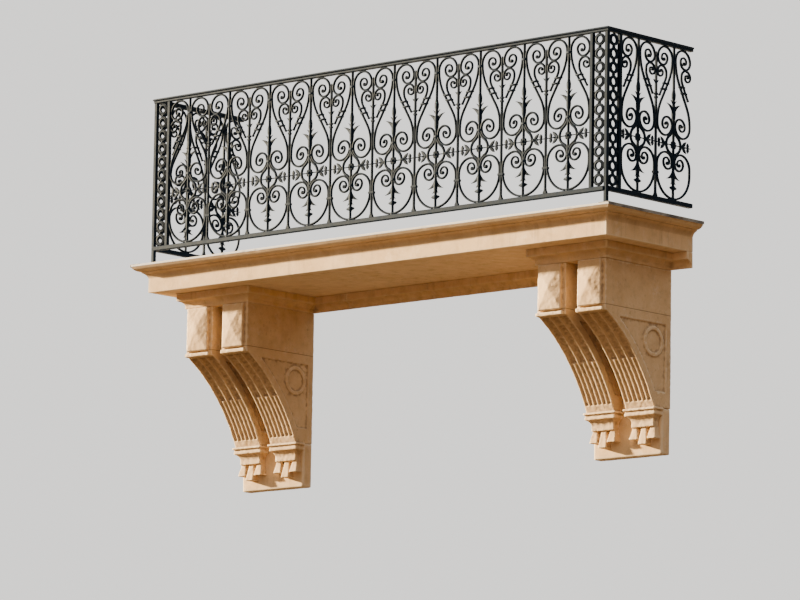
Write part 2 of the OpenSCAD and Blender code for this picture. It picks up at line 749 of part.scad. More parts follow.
// One corbel, centred on X = 0
module corbel() {
    color("#dcc198") {
        corbel_head();
        difference() {
            rotate([90, 0, -90]) linear_extrude(corbel_w, center = true) bracket_outline(0, 0);
            grooves(flutes, ridge_w, flute_t, head_foot - stop_h, head_foot - flute_drop);
            grooves(2 * flutes, ridge_w, reed_t, head_foot - flute_drop + reed_lap, band_foot + plain_h);
            for (side = [-1, 1]) translate([side * corbel_w / 2, 0, 0]) sunk_side();
        }
        difference() {
            union() {
                moulded_body(capital_edge(), band_foot, corbel_w / 2, band_foot_out);
                for (i = [-1, 0, 1])
                    drop(i * (corbel_w / 2 - neck_in - drop_w / 2), drop_h - abs(i) * drop_short);
            }
            translate([-corbel_w, -pier_out, neck_foot - over])
                cube([2 * corbel_w, 2 * pier_out, cap_h + neck_h + over]);
        }
    }
}

// Backing pier of the right pair, which fills the space between the corbels and runs down below them
module backing_pier() {
    color("#d2b488") {
        translate([pair_out - pair_w, -pier_out, pier_foot]) cube([pair_w, pier_out, band_foot - pier_foot]);
        translate([pair_out - corbel_w - pair_gap, -pier_out, band_foot])
            cube([pair_gap, pier_out, bed_foot - band_foot]);
    }
}

module corbel_outer_left() {
    translate([-pair_out + corbel_w / 2, 0, 0]) corbel();
}
module corbel_inner_left() {
    translate([-pair_out + 1.5 * corbel_w + pair_gap, 0, 0]) corbel();
}
module corbel_inner_right() {
    translate([pair_out - 1.5 * corbel_w - pair_gap, 0, 0]) corbel();
}
module corbel_outer_right() {
    translate([pair_out - corbel_w / 2, 0, 0]) corbel();
}
module bed_mould_left() {
    mirror([1, 0, 0]) bed_mould();
}
module bed_mould_right() {
    bed_mould();
}
module bed_mould_wall() {
    color("#d6b98d") wall_moulding(pair_w + return_run - pair_out, pair_out - pair_w - return_run);
}
module backing_pier_left() {
    mirror([1, 0, 0]) backing_pier();
}
module backing_pier_right() {
    backing_pier();
}
module corner_post_left() {
    mirror([1, 0, 0]) corner_post();
}
module corner_post_right() {
    corner_post();
}
module handrail_front() {
    front_handrail();
}
module handrail_left() {
    mirror([1, 0, 0]) side_handrail();
}
module handrail_right() {
    side_handrail();
}
module bottom_rail_front() {
    front_bottom_rail();
}
module bottom_rail_left() {
    mirror([1, 0, 0]) side_bottom_rail();
}
module bottom_rail_right() {
    side_bottom_rail();
}
module pilaster_front_left() {
    mirror([1, 0, 0]) on_front(front_run) pilaster();
}
module pilaster_front_right() {
    on_front(front_run) pilaster();
}
module pilaster_side_left() {
    mirror([1, 0, 0]) on_side(side_run) mirror([1, 0, 0]) pilaster();
}
module pilaster_side_right() {
    on_side(side_run) mirror([1, 0, 0]) pilaster();
}

// Panel number i of the front, counted from the left
module front_panel(i) {
    if (i <= front_panels)
        on_front((2 * i - 1 - front_panels) * front_half) scroll_panel(front_half);
}

// Panel number i of the right return, counted from the corner
module side_panel(i) {
    on_side(side_run - (2 * i - 1) * side_half) scroll_panel(side_half);
}
module uprights_front() {
    for (i = [1:front_panels - 1]) on_front((2 * i - front_panels) * front_half) upright(front_half);
}
module uprights_right() {
    for (i = [1:side_panels - 1]) on_side(side_run - 2 * i * side_half) upright(side_half);
}
module uprights_left() {
    mirror([1, 0, 0]) uprights_right();
}

balcony_slab();
slab_capping();
post_feet();
bed_mould_left();
bed_mould_right();
bed_mould_wall();
corbel_outer_left();
corbel_inner_left();
corbel_inner_right();
corbel_outer_right();
backing_pier_left();
backing_pier_right();
corner_post_left();
corner_post_right();
handrail_front();
handrail_left();
handrail_right();
bottom_rail_front();
bottom_rail_left();
bottom_rail_right();
pilaster_front_left();
pilaster_front_right();
pilaster_side_left();
pilaster_side_right();
uprights_front();
uprights_left();
uprights_right();
front_panel(1);  // front_panel_01
front_panel(2);  // front_panel_02
front_panel(3);  // front_panel_03
front_panel(4);  // front_panel_04
front_panel(5);  // front_panel_05
front_panel(6);  // front_panel_06
front_panel(7);  // front_panel_07
front_panel(8);  // front_panel_08
front_panel(9);  // front_panel_09
front_panel(10);  // front_panel_10
mirror([1, 0, 0]) side_panel(1);  // left_panel_1
mirror([1, 0, 0]) side_panel(2);  // left_panel_2
side_panel(1);  // right_panel_1
side_panel(2);  // right_panel_2
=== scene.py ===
"""Stone balcony with a scrolled iron railing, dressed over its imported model.

X runs along the front, Y runs into the wall and Z is up, in metres. The wall's face is Y = 0 and the
origin is the middle of the slab's back face. The iron is modelled bar by bar on the centre lines of the
castings. The slab is built from its own edge moulding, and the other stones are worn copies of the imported
solids.
"""

from __future__ import annotations

import logging
import math
from dataclasses import dataclass
from enum import Enum
from typing import Callable, Sequence

import bmesh
import bpy
import numpy as np
from mathutils import Matrix, Vector

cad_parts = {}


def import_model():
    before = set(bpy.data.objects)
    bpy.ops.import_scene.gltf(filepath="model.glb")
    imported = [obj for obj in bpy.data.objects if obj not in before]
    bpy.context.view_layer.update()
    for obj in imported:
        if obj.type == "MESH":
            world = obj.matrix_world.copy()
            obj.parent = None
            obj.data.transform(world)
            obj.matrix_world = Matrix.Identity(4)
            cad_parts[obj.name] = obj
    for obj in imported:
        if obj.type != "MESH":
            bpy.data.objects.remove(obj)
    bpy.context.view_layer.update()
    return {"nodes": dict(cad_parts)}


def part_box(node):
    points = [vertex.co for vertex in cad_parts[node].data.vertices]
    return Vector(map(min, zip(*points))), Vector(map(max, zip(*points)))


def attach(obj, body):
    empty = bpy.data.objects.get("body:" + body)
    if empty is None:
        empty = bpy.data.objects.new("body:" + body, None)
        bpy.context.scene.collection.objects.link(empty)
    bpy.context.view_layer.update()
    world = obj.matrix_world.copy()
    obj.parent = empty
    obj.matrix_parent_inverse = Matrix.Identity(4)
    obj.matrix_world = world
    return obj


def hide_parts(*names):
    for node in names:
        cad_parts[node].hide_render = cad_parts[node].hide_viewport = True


LOG = logging.getLogger("balcony")
BODY = "root"
MM = 0.001
MIRROR_X = Matrix.Scale(-1, 4, (1, 0, 0))
SIDES = (("right", 1), ("left", -1))


class Slot(Enum):
    """Finish slots of the record."""

    STONE = "stone"
    STONE_CORBEL = "stone_corbel"
    SHEET = "sheet_metal"
    BEDDING = "bedding"
    IRON = "iron"
    IRON_RAILS = "iron_rails"


# Paths in the plane of a panel, as rows of (x, z)

# Radius over which an arc is laid out at each step, and that step in degrees
ARC_STEPS = ((0.05, 7.5), (0.025, 10.0), (0.0, 15.0))
# Shortest step of a path, under which a point counts as a repeated one
SHORTEST = 1e-5


def arc(centre: Sequence[float], radius: float, start: float, end: float) -> np.ndarray:
    """Points of an arc, closer together where the radius is small.

    Args:
        centre: Centre of the arc, (x, z).
        radius: Radius in metres.
        start: First angle in degrees.
        end: Last angle in degrees.

    Returns:
        The points in order, both ends among them.
    """
    step = next(degrees for limit, degrees in ARC_STEPS if radius > limit)
    count = max(2, math.ceil(abs(end - start) / step) + 1)
    angles = np.radians(np.linspace(start, end, count))
    return np.stack([centre[0] + radius * np.cos(angles), centre[1] + radius * np.sin(angles)], 1)


def line(start: Sequence[float], end: Sequence[float], spacing: float = 0.03) -> np.ndarray:
    """Points of a straight, at most the spacing apart.

    Args:
        start: First point, (x, z).
        end: Last point, (x, z).
        spacing: Largest distance between two points.

    Returns:
        The points in order, both ends among them.
    """
    first, last = np.array(start, float), np.array(end, float)
    count = max(2, math.ceil(np.linalg.norm(last - first) / spacing) + 1)
    return first + (last - first) * np.linspace(0, 1, count)[:, None]


def joined(*parts: np.ndarray) -> np.ndarray:
    """One path from several that follow each other, without repeated points.

    Args:
        *parts: Paths in order.

    Returns:
        The whole path.
    """
    path = np.concatenate(parts)
    steps = np.linalg.norm(np.diff(path, axis=0), axis=1)
    return path[np.concatenate([[True], steps > SHORTEST])]


def tapered(
    path: np.ndarray, width: float, head: float = 1.0, tail: float = 1.0, run: float = 0.14
) -> np.ndarray:
    """Width along a path that narrows towards its two ends.

    Args:
        path: The path.
        width: Width away from the ends.
        head: Share of the width at the path's start.
        tail: Share of the width at the path's end.
        run: Length over which it narrows.

    Returns:
        One width for each point.
    """
    reach = np.concatenate([[0.0], np.cumsum(np.linalg.norm(np.diff(path, axis=0), axis=1))])
    from_start = np.clip(reach / run, 0, 1)
    from_end = np.clip((reach[-1] - reach) / run, 0, 1)
    return width * (head + (1 - head) * from_start) * (tail + (1 - tail) * from_end)


@dataclass(frozen=True)
class CoilShape:
    """Shape of a coil and of the bulb that ends it.

    Attributes:
        turns: Radius of each half ring as a share of the scroll's own.
        sweep: Angle of the last turn in degrees.
        bulb_in: Distance of the bulb's centre from the outside of the last turn's axis, inwards.
        bulb_r: Radius of the bulb.
        bulb_lift: Thickness of the bulb over the strip's.
    """

    turns: tuple[float, ...]
    sweep: float
    bulb_in: float
    bulb_r: float
    bulb_lift: float


@dataclass
class Coil:
    """Chain of half rings that winds inwards and ends in a bulb.

    Attributes:
        path: Centre line from its start inwards.
        bulb: Centre of the end bulb.
    """

    path: np.ndarray
    bulb: np.ndarray

    @classmethod
    def wound(cls, start: Sequence[float], radius: float, shape: CoilShape, up: int) -> Coil:
        """Winds a coil whose body lies on the left of its start.

        Args:
            start: Point where the coil begins, (x, z).
            radius: Radius of the scroll.
            shape: Shape of the coil.
            up: 1 where the coil begins upwards and -1 where it begins downwards.

        Returns:
            The coil.
        """
        parts, shift = [], 0.0
        for i, share in enumerate(shape.turns):
            turn_r = radius * share
            way = -1 if i % 2 == 0 else 1
            rise = up * (1 if i % 2 == 0 else -1)
            centre = (start[0] - shift + way * turn_r, start[1])
            begin = 180.0 if way > 0 else 0.0
            end = begin + (shape.sweep if i == len(shape.turns) - 1 else 180.0) * -way * rise
            parts.append(arc(centre, turn_r, begin, end))
            shift += (2 if i % 2 == 0 else -2) * turn_r
        far = np.array([math.cos(math.radians(end)), math.sin(math.radians(end))])
        return cls(joined(*parts), np.array(centre) + (turn_r - shape.bulb_in) * far)


# Meshes

# Domed boss, as rows of (share of its radius, share of half its depth)
DOME = (
    (0.25, -1.0), (0.62, -0.9), (0.88, -0.66), (1.0, -0.3),
    (1.0, 0.3), (0.88, 0.66), (0.62, 0.9), (0.25, 1.0),
)
# One face of a leaf, as rows of (share of its spread, share of its rib's height)
LEAF_FACE = ((1, 0.3), (0.55, 0.8), (0.12, 0.7), (-0.12, 0.7), (-0.55, 0.8), (-1, 0.3))
# One face of a rosette, as rows of (share of its radius, height, swelling of the petals)
ROSETTE_FACE = (
    (0.14, 1.0, 0.0), (0.3, 0.86, 0.0), (0.36, 0.5, 0.0), (0.6, 0.5, 0.24), (0.86, 0.4, 0.2),
    (1.0, 0.16, 0.06),
)
# Corners of a bevelled bar, as rows of (side, face, whether the corner lies on the face)
BAR_CORNERS = ((1, -1, 0), (1, 1, 0), (1, 1, 1), (-1, 1, 1), (-1, 1, 0), (-1, -1, 0), (-1, -1, 1), (1, -1, 1))


class Casting:
    """Vertices and faces of one piece while it is made.

    Attributes:
        widest_bevel: Widest bevel of a strip's edges.
        leaf_rings: Stations along a leaf.
        thinnest_leaf: Half width of a leaf at its ends.
        petal_points: Points round the rim of each petal.
    """

    widest_bevel: float = 0.0034
    leaf_rings: int = 11
    thinnest_leaf: float = 0.0012
    petal_points: int = 6

    def __init__(self) -> None:
        """Starts an empty piece."""
        self.points: list[np.ndarray] = []
        self.faces: list[tuple[int, ...]] = []
        self.count = 0

    def add(self, points: np.ndarray, faces: Sequence[tuple[int, ...]]) -> None:
        """Adds a shape of its own.

        Args:
            points: Its vertices.
            faces: Its faces, counted from its own first vertex.
        """
        self.points.append(np.asarray(points, float))
        self.faces.extend(tuple(i + self.count for i in face) for face in faces)
        self.count += len(points)

    def tube(self, rings: np.ndarray, closed: bool = False) -> None:
        """Adds a skin over rings of equal count, capped at both ends unless it closes on itself.

        Args:
            rings: Array of rings, each a row of points.
            closed: Whether the last ring joins the first.
        """
        count, size = rings.shape[:2]
        faces: list[tuple[int, ...]] = []
        for i in range(count if closed else count - 1):
            near, far = i * size, (i + 1) % count * size
            for k in range(size):
                nxt = (k + 1) % size
                faces.append((near + k, near + nxt, far + nxt, far + k))
        if not closed:
            faces.append(tuple(range(size - 1, -1, -1)))
            faces.append(tuple((count - 1) * size + k for k in range(size)))
        self.add(rings.reshape(-1, 3), faces)

    def strip(self, path: np.ndarray, width: np.ndarray | float, depth: float) -> None:
        """Adds a bar with bevelled edges along a path in the panel's plane.

        Args:
            path: Centre line, rows of (x, z).
            width: Width across the path, one for all points or one for each.
            depth: Thickness along Y.
        """
        along = np.concatenate([path[1:], path[-1:]]) - np.concatenate([path[:1], path[:-1]])
        along /= np.linalg.norm(along, axis=1)[:, None]
        across = np.stack([-along[:, 1], along[:, 0]], 1)
        half = np.broadcast_to(np.asarray(width, float) / 2, (len(path),))
        edge = min(self.widest_bevel, depth / 4)
        rings = np.zeros((len(path), len(BAR_CORNERS), 3))
        for k, (out, front, flat) in enumerate(BAR_CORNERS):
            reach = out * (half - (edge if flat else 0.0))
            level = front * (depth / 2 - (0.0 if flat else edge))
            rings[:, k, 0] = path[:, 0] + across[:, 0] * reach
            rings[:, k, 1] = level
            rings[:, k, 2] = path[:, 1] + across[:, 1] * reach
        self.tube(rings)

    def bulb(self, centre: Sequence[float], radius: float, depth: float, sides: int = 16) -> None:
        """Adds a round boss with domed faces.

        Args:
            centre: Its centre, (x, z).
            radius: Its radius.
            depth: Its whole thickness along Y.
            sides: Points round its rim.
        """
        x, z = centre
        angles = np.linspace(0, 2 * math.pi, sides, endpoint=False)
        rings = []
        for share, level in DOME:
            r, y = radius * share, depth / 2 * level
            rings.append([(x + r * math.cos(a), y, z + r * math.sin(a)) for a in angles])
        self.tube(np.array(rings))

    def stack(self, levels: Sequence[tuple[float, float, float]], bevel: float = 0.0024) -> None:
        """Adds an upright bar whose width and depth change with height.

        Args:
            levels: Rows of (z, half width, half depth) from the foot up.
            bevel: Bevel of its edges.
        """
        rings = []
        for z, w, d in levels:
            b = min(bevel, w * 0.6, d * 0.6)
            half = ((w, b - d), (w, d - b), (w - b, d), (b - w, d))
            rings.append([(u, v, z) for u, v in half] + [(-u, -v, z) for u, v in half])
        self.tube(np.array(rings))

    def leaf(
        self, root: Sequence[float], tip: Sequence[float], high: float, low: float, depth: float
    ) -> None:
        """Adds a leaf with a raised middle rib between two bowed edges.

        Args:
            root: Its root, (x, z).
            tip: Its tip, (x, z).
            high: Bow of one edge to the left of the way from root to tip.
            low: Bow of the other edge to the same side.
            depth: Its thickness at the rib.
        """
        first, last = np.array(root, float), np.array(tip, float)
        chord = last - first
        across = np.array([-chord[1], chord[0]]) / np.linalg.norm(chord)
        rings = []
        for s in np.linspace(0, 1, self.leaf_rings):
            bow = 4 * s * (1 - s)
            middle = (high + low) / 2 * bow
            spread = max(abs(high - low) / 2 * bow, self.thinnest_leaf)
            rib = depth / 2 * (1 - 0.55 * s)
            ring = []
            for share, y in LEAF_FACE:
                spot = first + chord * s + across * (middle + spread * share)
                ring.append((spot[0], rib * y, spot[1]))
            rings.append(ring + [(x, -y, z) for x, y, z in reversed(ring)])
        self.tube(np.array(rings))

    def leaves(self, rows: Sequence[Sequence[float]], z: float, depth: float, x: float = 0.0) -> None:
        """Adds several leaves.

        Args:
            rows: Rows of (root x, root z, tip x, tip z, high, low) in millimetres and a share of the depth.
            z: Level that the rows count from.
            depth: Depth that the shares are of.
            x: Place that the rows count from.
        """
        for root_x, root_z, tip_x, tip_z, high, low, share in rows:
            root, tip = (x + root_x * MM, z + root_z * MM), (x + tip_x * MM, z + tip_z * MM)
            self.leaf(root, tip, high * MM, low * MM, depth * share)

    def rosette(self, centre: Sequence[float], radius: float, depth: float, petals: int = 8) -> None:
        """Adds a flower with a boss and petals on both faces.

        Args:
            centre: Its centre, (x, z).
            radius: Reach of its petals.
            depth: Thickness at the boss.
            petals: Number of petals.
        """
        x, z = centre
        angles = np.linspace(0, 2 * math.pi, petals * self.petal_points, endpoint=False)
        lift = np.abs(np.cos(angles * petals / 2))
        reach = 0.84 + 0.16 * np.sqrt(lift)
        rows = []
        for r, boss, swell in ROSETTE_FACE:
            rim = radius * (r * (reach if r > 0.5 else 1.0))
            height = depth / 2 * (boss + swell * lift)
            rows.append(np.stack([x + rim * np.cos(angles), -height, z + rim * np.sin(angles)], 1))
        back = [row * (1, -1, 1) for row in reversed(rows)]
        self.tube(np.array(rows + back))

    def include(self, other: Casting, place: Matrix | None = None) -> None:
        """Adds a copy of another piece.

        Args:
            other: The piece to copy.
            place: Where it goes. A mirrored place turns its faces round.
        """
        points = np.concatenate(other.points)
        flip = False
        if place is not None:
            grid = np.array(place)
            points = points @ grid[:3, :3].T + grid[:3, 3]
            flip = np.linalg.det(grid[:3, :3]) < 0
        self.add(points, [face[::-1] if flip else face for face in other.faces])

    def include_pair(self, other: Casting, mirror: Matrix = MIRROR_X) -> None:
        """Adds a copy of another piece and its mirrored copy.

        Args:
            other: The piece to copy.
            mirror: How it is mirrored.
        """
        self.include(other)
        self.include(other, mirror)

    def mesh(self, name: str, crease: float = 32.0) -> bpy.types.Mesh:
        """Turns the piece into a smooth-shaded mesh.

        Args:
            name: Name of the mesh.
            crease: Angle in degrees over which an edge stays sharp.

        Returns:
            The mesh.
        """
        mesh = bpy.data.meshes.new(name)
        mesh.from_pydata(np.concatenate(self.points).tolist(), [], self.faces)
        mesh.validate()
        mesh.shade_smooth()
        mesh.set_sharp_from_angle(angle=math.radians(crease))
        mesh.update()
        return mesh


# Sizes


@dataclass(frozen=True)
class RailingSizes:
    """Main lines of the railing.

    Attributes:
        rail_w: Width of the railing over its corner posts.
        rail_d: Reach of the railing from the wall.
        rail_h: Height of the railing over the slab.
        post_t: Width of the corner posts.
        bar_w: Width of the bars.
        pilaster_w: Width of a pilaster with both its posts.
        front_panels: Number of panels on the front.
        side_panels: Number of panels on each return.
        handrail_w: Width of the handrail.
        handrail_t: Height of the handrail.
        bottom_rail_w: Width of the bottom rail.
        bottom_rail_t: Height of the bottom rail.
        foot_gap: Gap between the slab and the bottom rail.
        slab_top: Level of the slab's top.
        seat: Play between two pieces that touch.
    """

    rail_w: float = 3.594
    rail_d: float = 0.768
    rail_h: float = 1.030
    post_t: float = 0.024
    bar_w: float = 0.012
    pilaster_w: float = 0.134
    front_panels: int = 10
    side_panels: int = 2
    handrail_w: float = 0.040
    handrail_t: float = 0.029
    bottom_rail_w: float = 0.033
    bottom_rail_t: float = 0.026
    foot_gap: float = 0.088
    slab_top: float = 0.0835
    seat: float = 0.0004

    @property
    def top(self) -> float:
        """Level of the handrail's top."""
        return self.slab_top + self.rail_h

    @property
    def under(self) -> float:
        """Level of the handrail's underside."""
        return self.top - self.handrail_t

    @property
    def sill_foot(self) -> float:
        """Level of the bottom rail's underside."""
        return self.slab_top + self.foot_gap

    @property
    def sill(self) -> float:
        """Level of the bottom rail's top."""
        return self.sill_foot + self.bottom_rail_t

    @property
    def axis_x(self) -> float:
        """Distance of the returns' middle plane from the balcony's middle line."""
        return self.rail_w / 2 - self.post_t / 2

    @property
    def axis_y(self) -> float:
        """Place of the front's middle plane."""
        return self.post_t / 2 - self.rail_d

    @property
    def front_run(self) -> float:
        """Distance from the middle line to the outer border of the last panel's cell."""
        return self.rail_w / 2 - self.pilaster_w + self.bar_w / 2

    @property
    def front_half(self) -> float:
        """Half the width of a front panel's cell."""
        return self.front_run / self.front_panels

    @property
    def side_run(self) -> float:
        """Distance from the wall to the outer border of the return's last cell."""
        return self.rail_d - self.pilaster_w + self.bar_w / 2

    @property
    def side_half(self) -> float:
        """Half the width of a return panel's cell."""
        return self.side_run / self.side_panels / 2


@dataclass(frozen=True)
class PanelLines:
    """Centre lines of one scroll panel, worked out from half the width of its cell.

    Attributes:
        half: Half the width of its cell.
        railing: Main lines of the railing.
        bar_w: Width of the bars.
        strip_w: Width of the scrolled strips.
        bar_d: Depth of the bars and strips.
        scroll_gap: Gap between the large scroll and the bars.
        shoulder: Rise from the large scroll's bowl to its hip.
        lean_share: Lean of its straight, as a share of the lean of its whole height.
        neck_share: Share of its bends that the upper one takes.
        heart_r: Radius of the heart scroll.
        heart_bend_r: Radius of the heart scroll's bend.
        tail_gap: Gap between the heart scroll's tail and the outer bar.
        knee_r: Radius of the lower scroll's knee.
        knee_run: Length of the lower scroll's straight.
        lozenge_h: Height of the lozenge.
        lozenge_w: Width of the lozenge.
        lozenge_strip_w: Width of its strip.
        weld: Overlap of two strips that are welded.
        bud_rise: Height of the bud over the large scroll's bowl.
        root_drop: Distance of the root under the knee.
        knop_drop: Distance of the knop under the root.
    """

    half: float
    railing: RailingSizes
    bar_w: float = 0.012
    strip_w: float = 0.012
    bar_d: float = 0.016
    scroll_gap: float = 0.0025
    shoulder: float = 0.014
    lean_share: float = 1.48
    neck_share: float = 0.56
    heart_r: float = 0.0395
    heart_bend_r: float = 0.075
    tail_gap: float = 0.020
    knee_r: float = 0.057
    knee_run: float = 0.023
    lozenge_h: float = 0.097
    lozenge_w: float = 0.128
    lozenge_strip_w: float = 0.015
    weld: float = 0.001
    bud_rise: float = 0.077
    root_drop: float = 0.052
    knop_drop: float = 0.092

    @property
    def inner_x(self) -> float:
        """Place of the large scroll's side next to the middle bar."""
        return -(self.bar_w / 2 + self.scroll_gap + self.strip_w / 2)

    @property
    def neck_r(self) -> float:
        """Radius of the large scroll's upper bend."""
        return self.neck_share * self.bends_r

    @property
    def bud_z(self) -> float:
        """Level of the bud's middle."""
        return self.low_z + self.bud_rise

    @property
    def root_z(self) -> float:
        """Level of the root's top."""
        return self.knee_z - self.root_drop

    @property
    def knop_z(self) -> float:
        """Level of the knop's middle."""
        return self.root_z - self.knop_drop

    @property
    def large_r(self) -> float:
        """Radius of the large scroll's first half ring."""
        return (self.half - self.bar_w - self.strip_w) / 2 - self.scroll_gap

    @property
    def large_z(self) -> float:
        """Level of the upper coil's centre."""
        return self.railing.under - self.railing.seat - self.strip_w / 2 - self.large_r

    @property
    def bowl_r(self) -> float:
        """Radius of the lower scroll's bowl."""
        return self.half - self.bar_w / 2 - self.railing.seat - self.strip_w / 2

    @property
    def bowl_z(self) -> float:
        """Level of the lower bowl's centre."""
        return self.railing.sill + self.railing.seat + self.strip_w / 2 + self.bowl_r

    @property
    def knee_x(self) -> float:
        """Place of the knee's centre."""
        return -(self.bar_w / 2 + self.strip_w / 2 - self.weld) - self.knee_r

    @property
    def knee_z(self) -> float:
        """Level of the knee's centre."""
        return self.bowl_z + self.knee_run + self.bowl_r + self.knee_x - self.knee_r

    @property
    def low_z(self) -> float:
        """Level of the large scroll's lower bowl."""
        return self.knee_z + self.knee_r + self.lozenge_h + self.large_r

    @property
    def mid_z(self) -> float:
        """Level of the rosette."""
        return self.knee_z + self.knee_r + self.lozenge_h / 2

    @property
    def hip_z(self) -> float:
        """Level where the large scroll comes down upright beside the outer bar."""
        return self.low_z + self.shoulder

    @property
    def tilt(self) -> float:
        """Lean of the large scroll's straight, in radians."""
        return self.lean_share * math.atan(2 * self.large_r / (self.large_z - self.hip_z))

    @property
    def bends_r(self) -> float:
        """Sum of the radii of the bends above and below that straight."""
        lean, rise = math.sin(self.tilt), math.cos(self.tilt)
        return ((self.large_z - self.hip_z) * lean - 2 * self.large_r * rise) / (1 - rise)

    @property
    def heart_z(self) -> float:
        """Level of the heart scroll's centre."""
        return self.large_z - (0.65 * self.large_r + self.strip_w / 2) - self.heart_r

    @property
    def bend_z(self) -> float:
        """Level where the heart scroll's tail begins."""
        return self.heart_z - self.strip_w / 2 - self.heart_bend_r * math.sin(self.tilt)

    @property
    def bend_x(self) -> float:
        """Place where the heart scroll's tail begins."""
        return 2 * self.heart_r - self.bowl_r - self.heart_bend_r * (1 - math.cos(self.tilt))

    @property
    def tail_x(self) -> float:
        """Place of the tail's end."""
        return -(self.half - self.bar_w / 2 - self.tail_gap - self.strip_w / 2)

    @property
    def tail_z(self) -> float:
        """Level of the tail's end."""
        return self.bend_z - (self.bend_x - self.tail_x) / math.tan(self.tilt)


# Ironwork

# Swellings of a bar in millimetres, as rows of (rise, width, depth) over its own half width and half depth
FOOT = ((0, 4, 2), (6, 4, 2), (10, 0, 0))
KNOP = ((-15, -0.6, 0), (-9, 4, 1), (0, 6, 3), (9, 4, 1), (16, -1.2, 0))
ROOT = ((-72, 1, 0), (-56, 3, 1), (-30, 4, 2), (-10, 3, 1), (8, 0, 0))
BUD = (
    (-50, 0, 0), (-36, 4, 1), (-12, 6, 2), (14, 5, 2), (36, 1, 1), (48, 0, 0), (66, 0, 0), (82, 5, 1),
    (104, 6, 1), (130, 0, 0), (140, 0, 0),
)
UPRIGHT_FOOT = ((0, 9, 0), (7, 9, 0), (20, 2, 0), (32, 0, 0))
STRAP = ((-10, 0, 0), (10, 0, 0))
BEAD = ((-8, 0, 0), (-5, 3.5, 1), (0, 5, 2), (5, 3.5, 1), (8, 0, 0))
NECK = ((-20, 0, 0), (-17, 0, 0))
# Leaves in millimetres, as rows of (root x, root z, tip x, tip z, high bow, low bow) and a share of the depth
BUD_LEAVES = ((4, -36, 62, 48, 33, 12, 1.0), (2, 26, 27, 70, 12, 2, 0.9))
ROOT_LEAVES = ((4, 26, 60, -42, -30, -11, 1.0), (2, -34, 23, -70, -9, -1, 0.9))
KNOP_LEAVES = ((2, 0, 33, 0, 9, -9, 1.0),)
FLEURON_LEAVES = ((-11, 1, -52, 35, 13, -9, 1.0), (-66, -2, -66, 30, 12, -12, 1.0))
UPRIGHT_LEAVES = ((2, -74, 25, -50, 8, -2, 1.0),)
# Collar in millimetres, as rows of (share of half its height, width, depth) under its own sizes
COLLAR = ((-1, 4, 3), (-0.75, 1.5, 0.8), (-0.35, 0, 0), (0, 1, 1), (0.35, 0, 0), (0.75, 1.5, 0.8), (1, 4, 3))
# Clip in millimetres, as rows of (rise, width, depth) under its own sizes
CLIP = ((-4.5, 1, 1), (-3.5, 0, 0), (3.5, 0, 0), (4.5, 1, 1))
# Plate of a strap in millimetres, as rows of (rise, half width, half depth)
PLATE = ((-7, 20, 0.6), (-5, 21, 1), (5, 21, 1), (7, 20, 0.6))
# Front half of a pilaster ring's section, as rows of (share of its width, share of half its depth)
RING_FACE = (
    (0.00, -0.10), (0.06, -0.62), (0.22, -0.95), (0.45, -1.0), (0.62, -0.82), (0.70, -0.66), (0.78, -0.66),
    (0.84, -0.88), (0.94, -0.88), (1.00, -0.70),
)
# Handrail in millimetres, as rows of (distance inside its edge, height over its underside or its top)
HANDRAIL_LOW = ((9, 0), (6, 3), (6, 14), (1, 16.5), (0, 19))
HANDRAIL_HIGH = ((1, -5.5), (6, -1.8), (14, 0))


def swollen(
    w: float, d: float, *parts: tuple[float, Sequence[tuple[float, float, float]]]
) -> list[tuple[float, float, float]]:
    """Levels of a bar with swellings.

    Args:
        w: Half width of the plain bar.
        d: Half depth of the plain bar.
        *parts: Level and table of each swelling, from the foot up.

    Returns:
        Rows of (level, half width, half depth).
    """
    return [(z + rise * MM, w + wide * MM, d + deep * MM) for z, table in parts for rise, wide, deep in table]


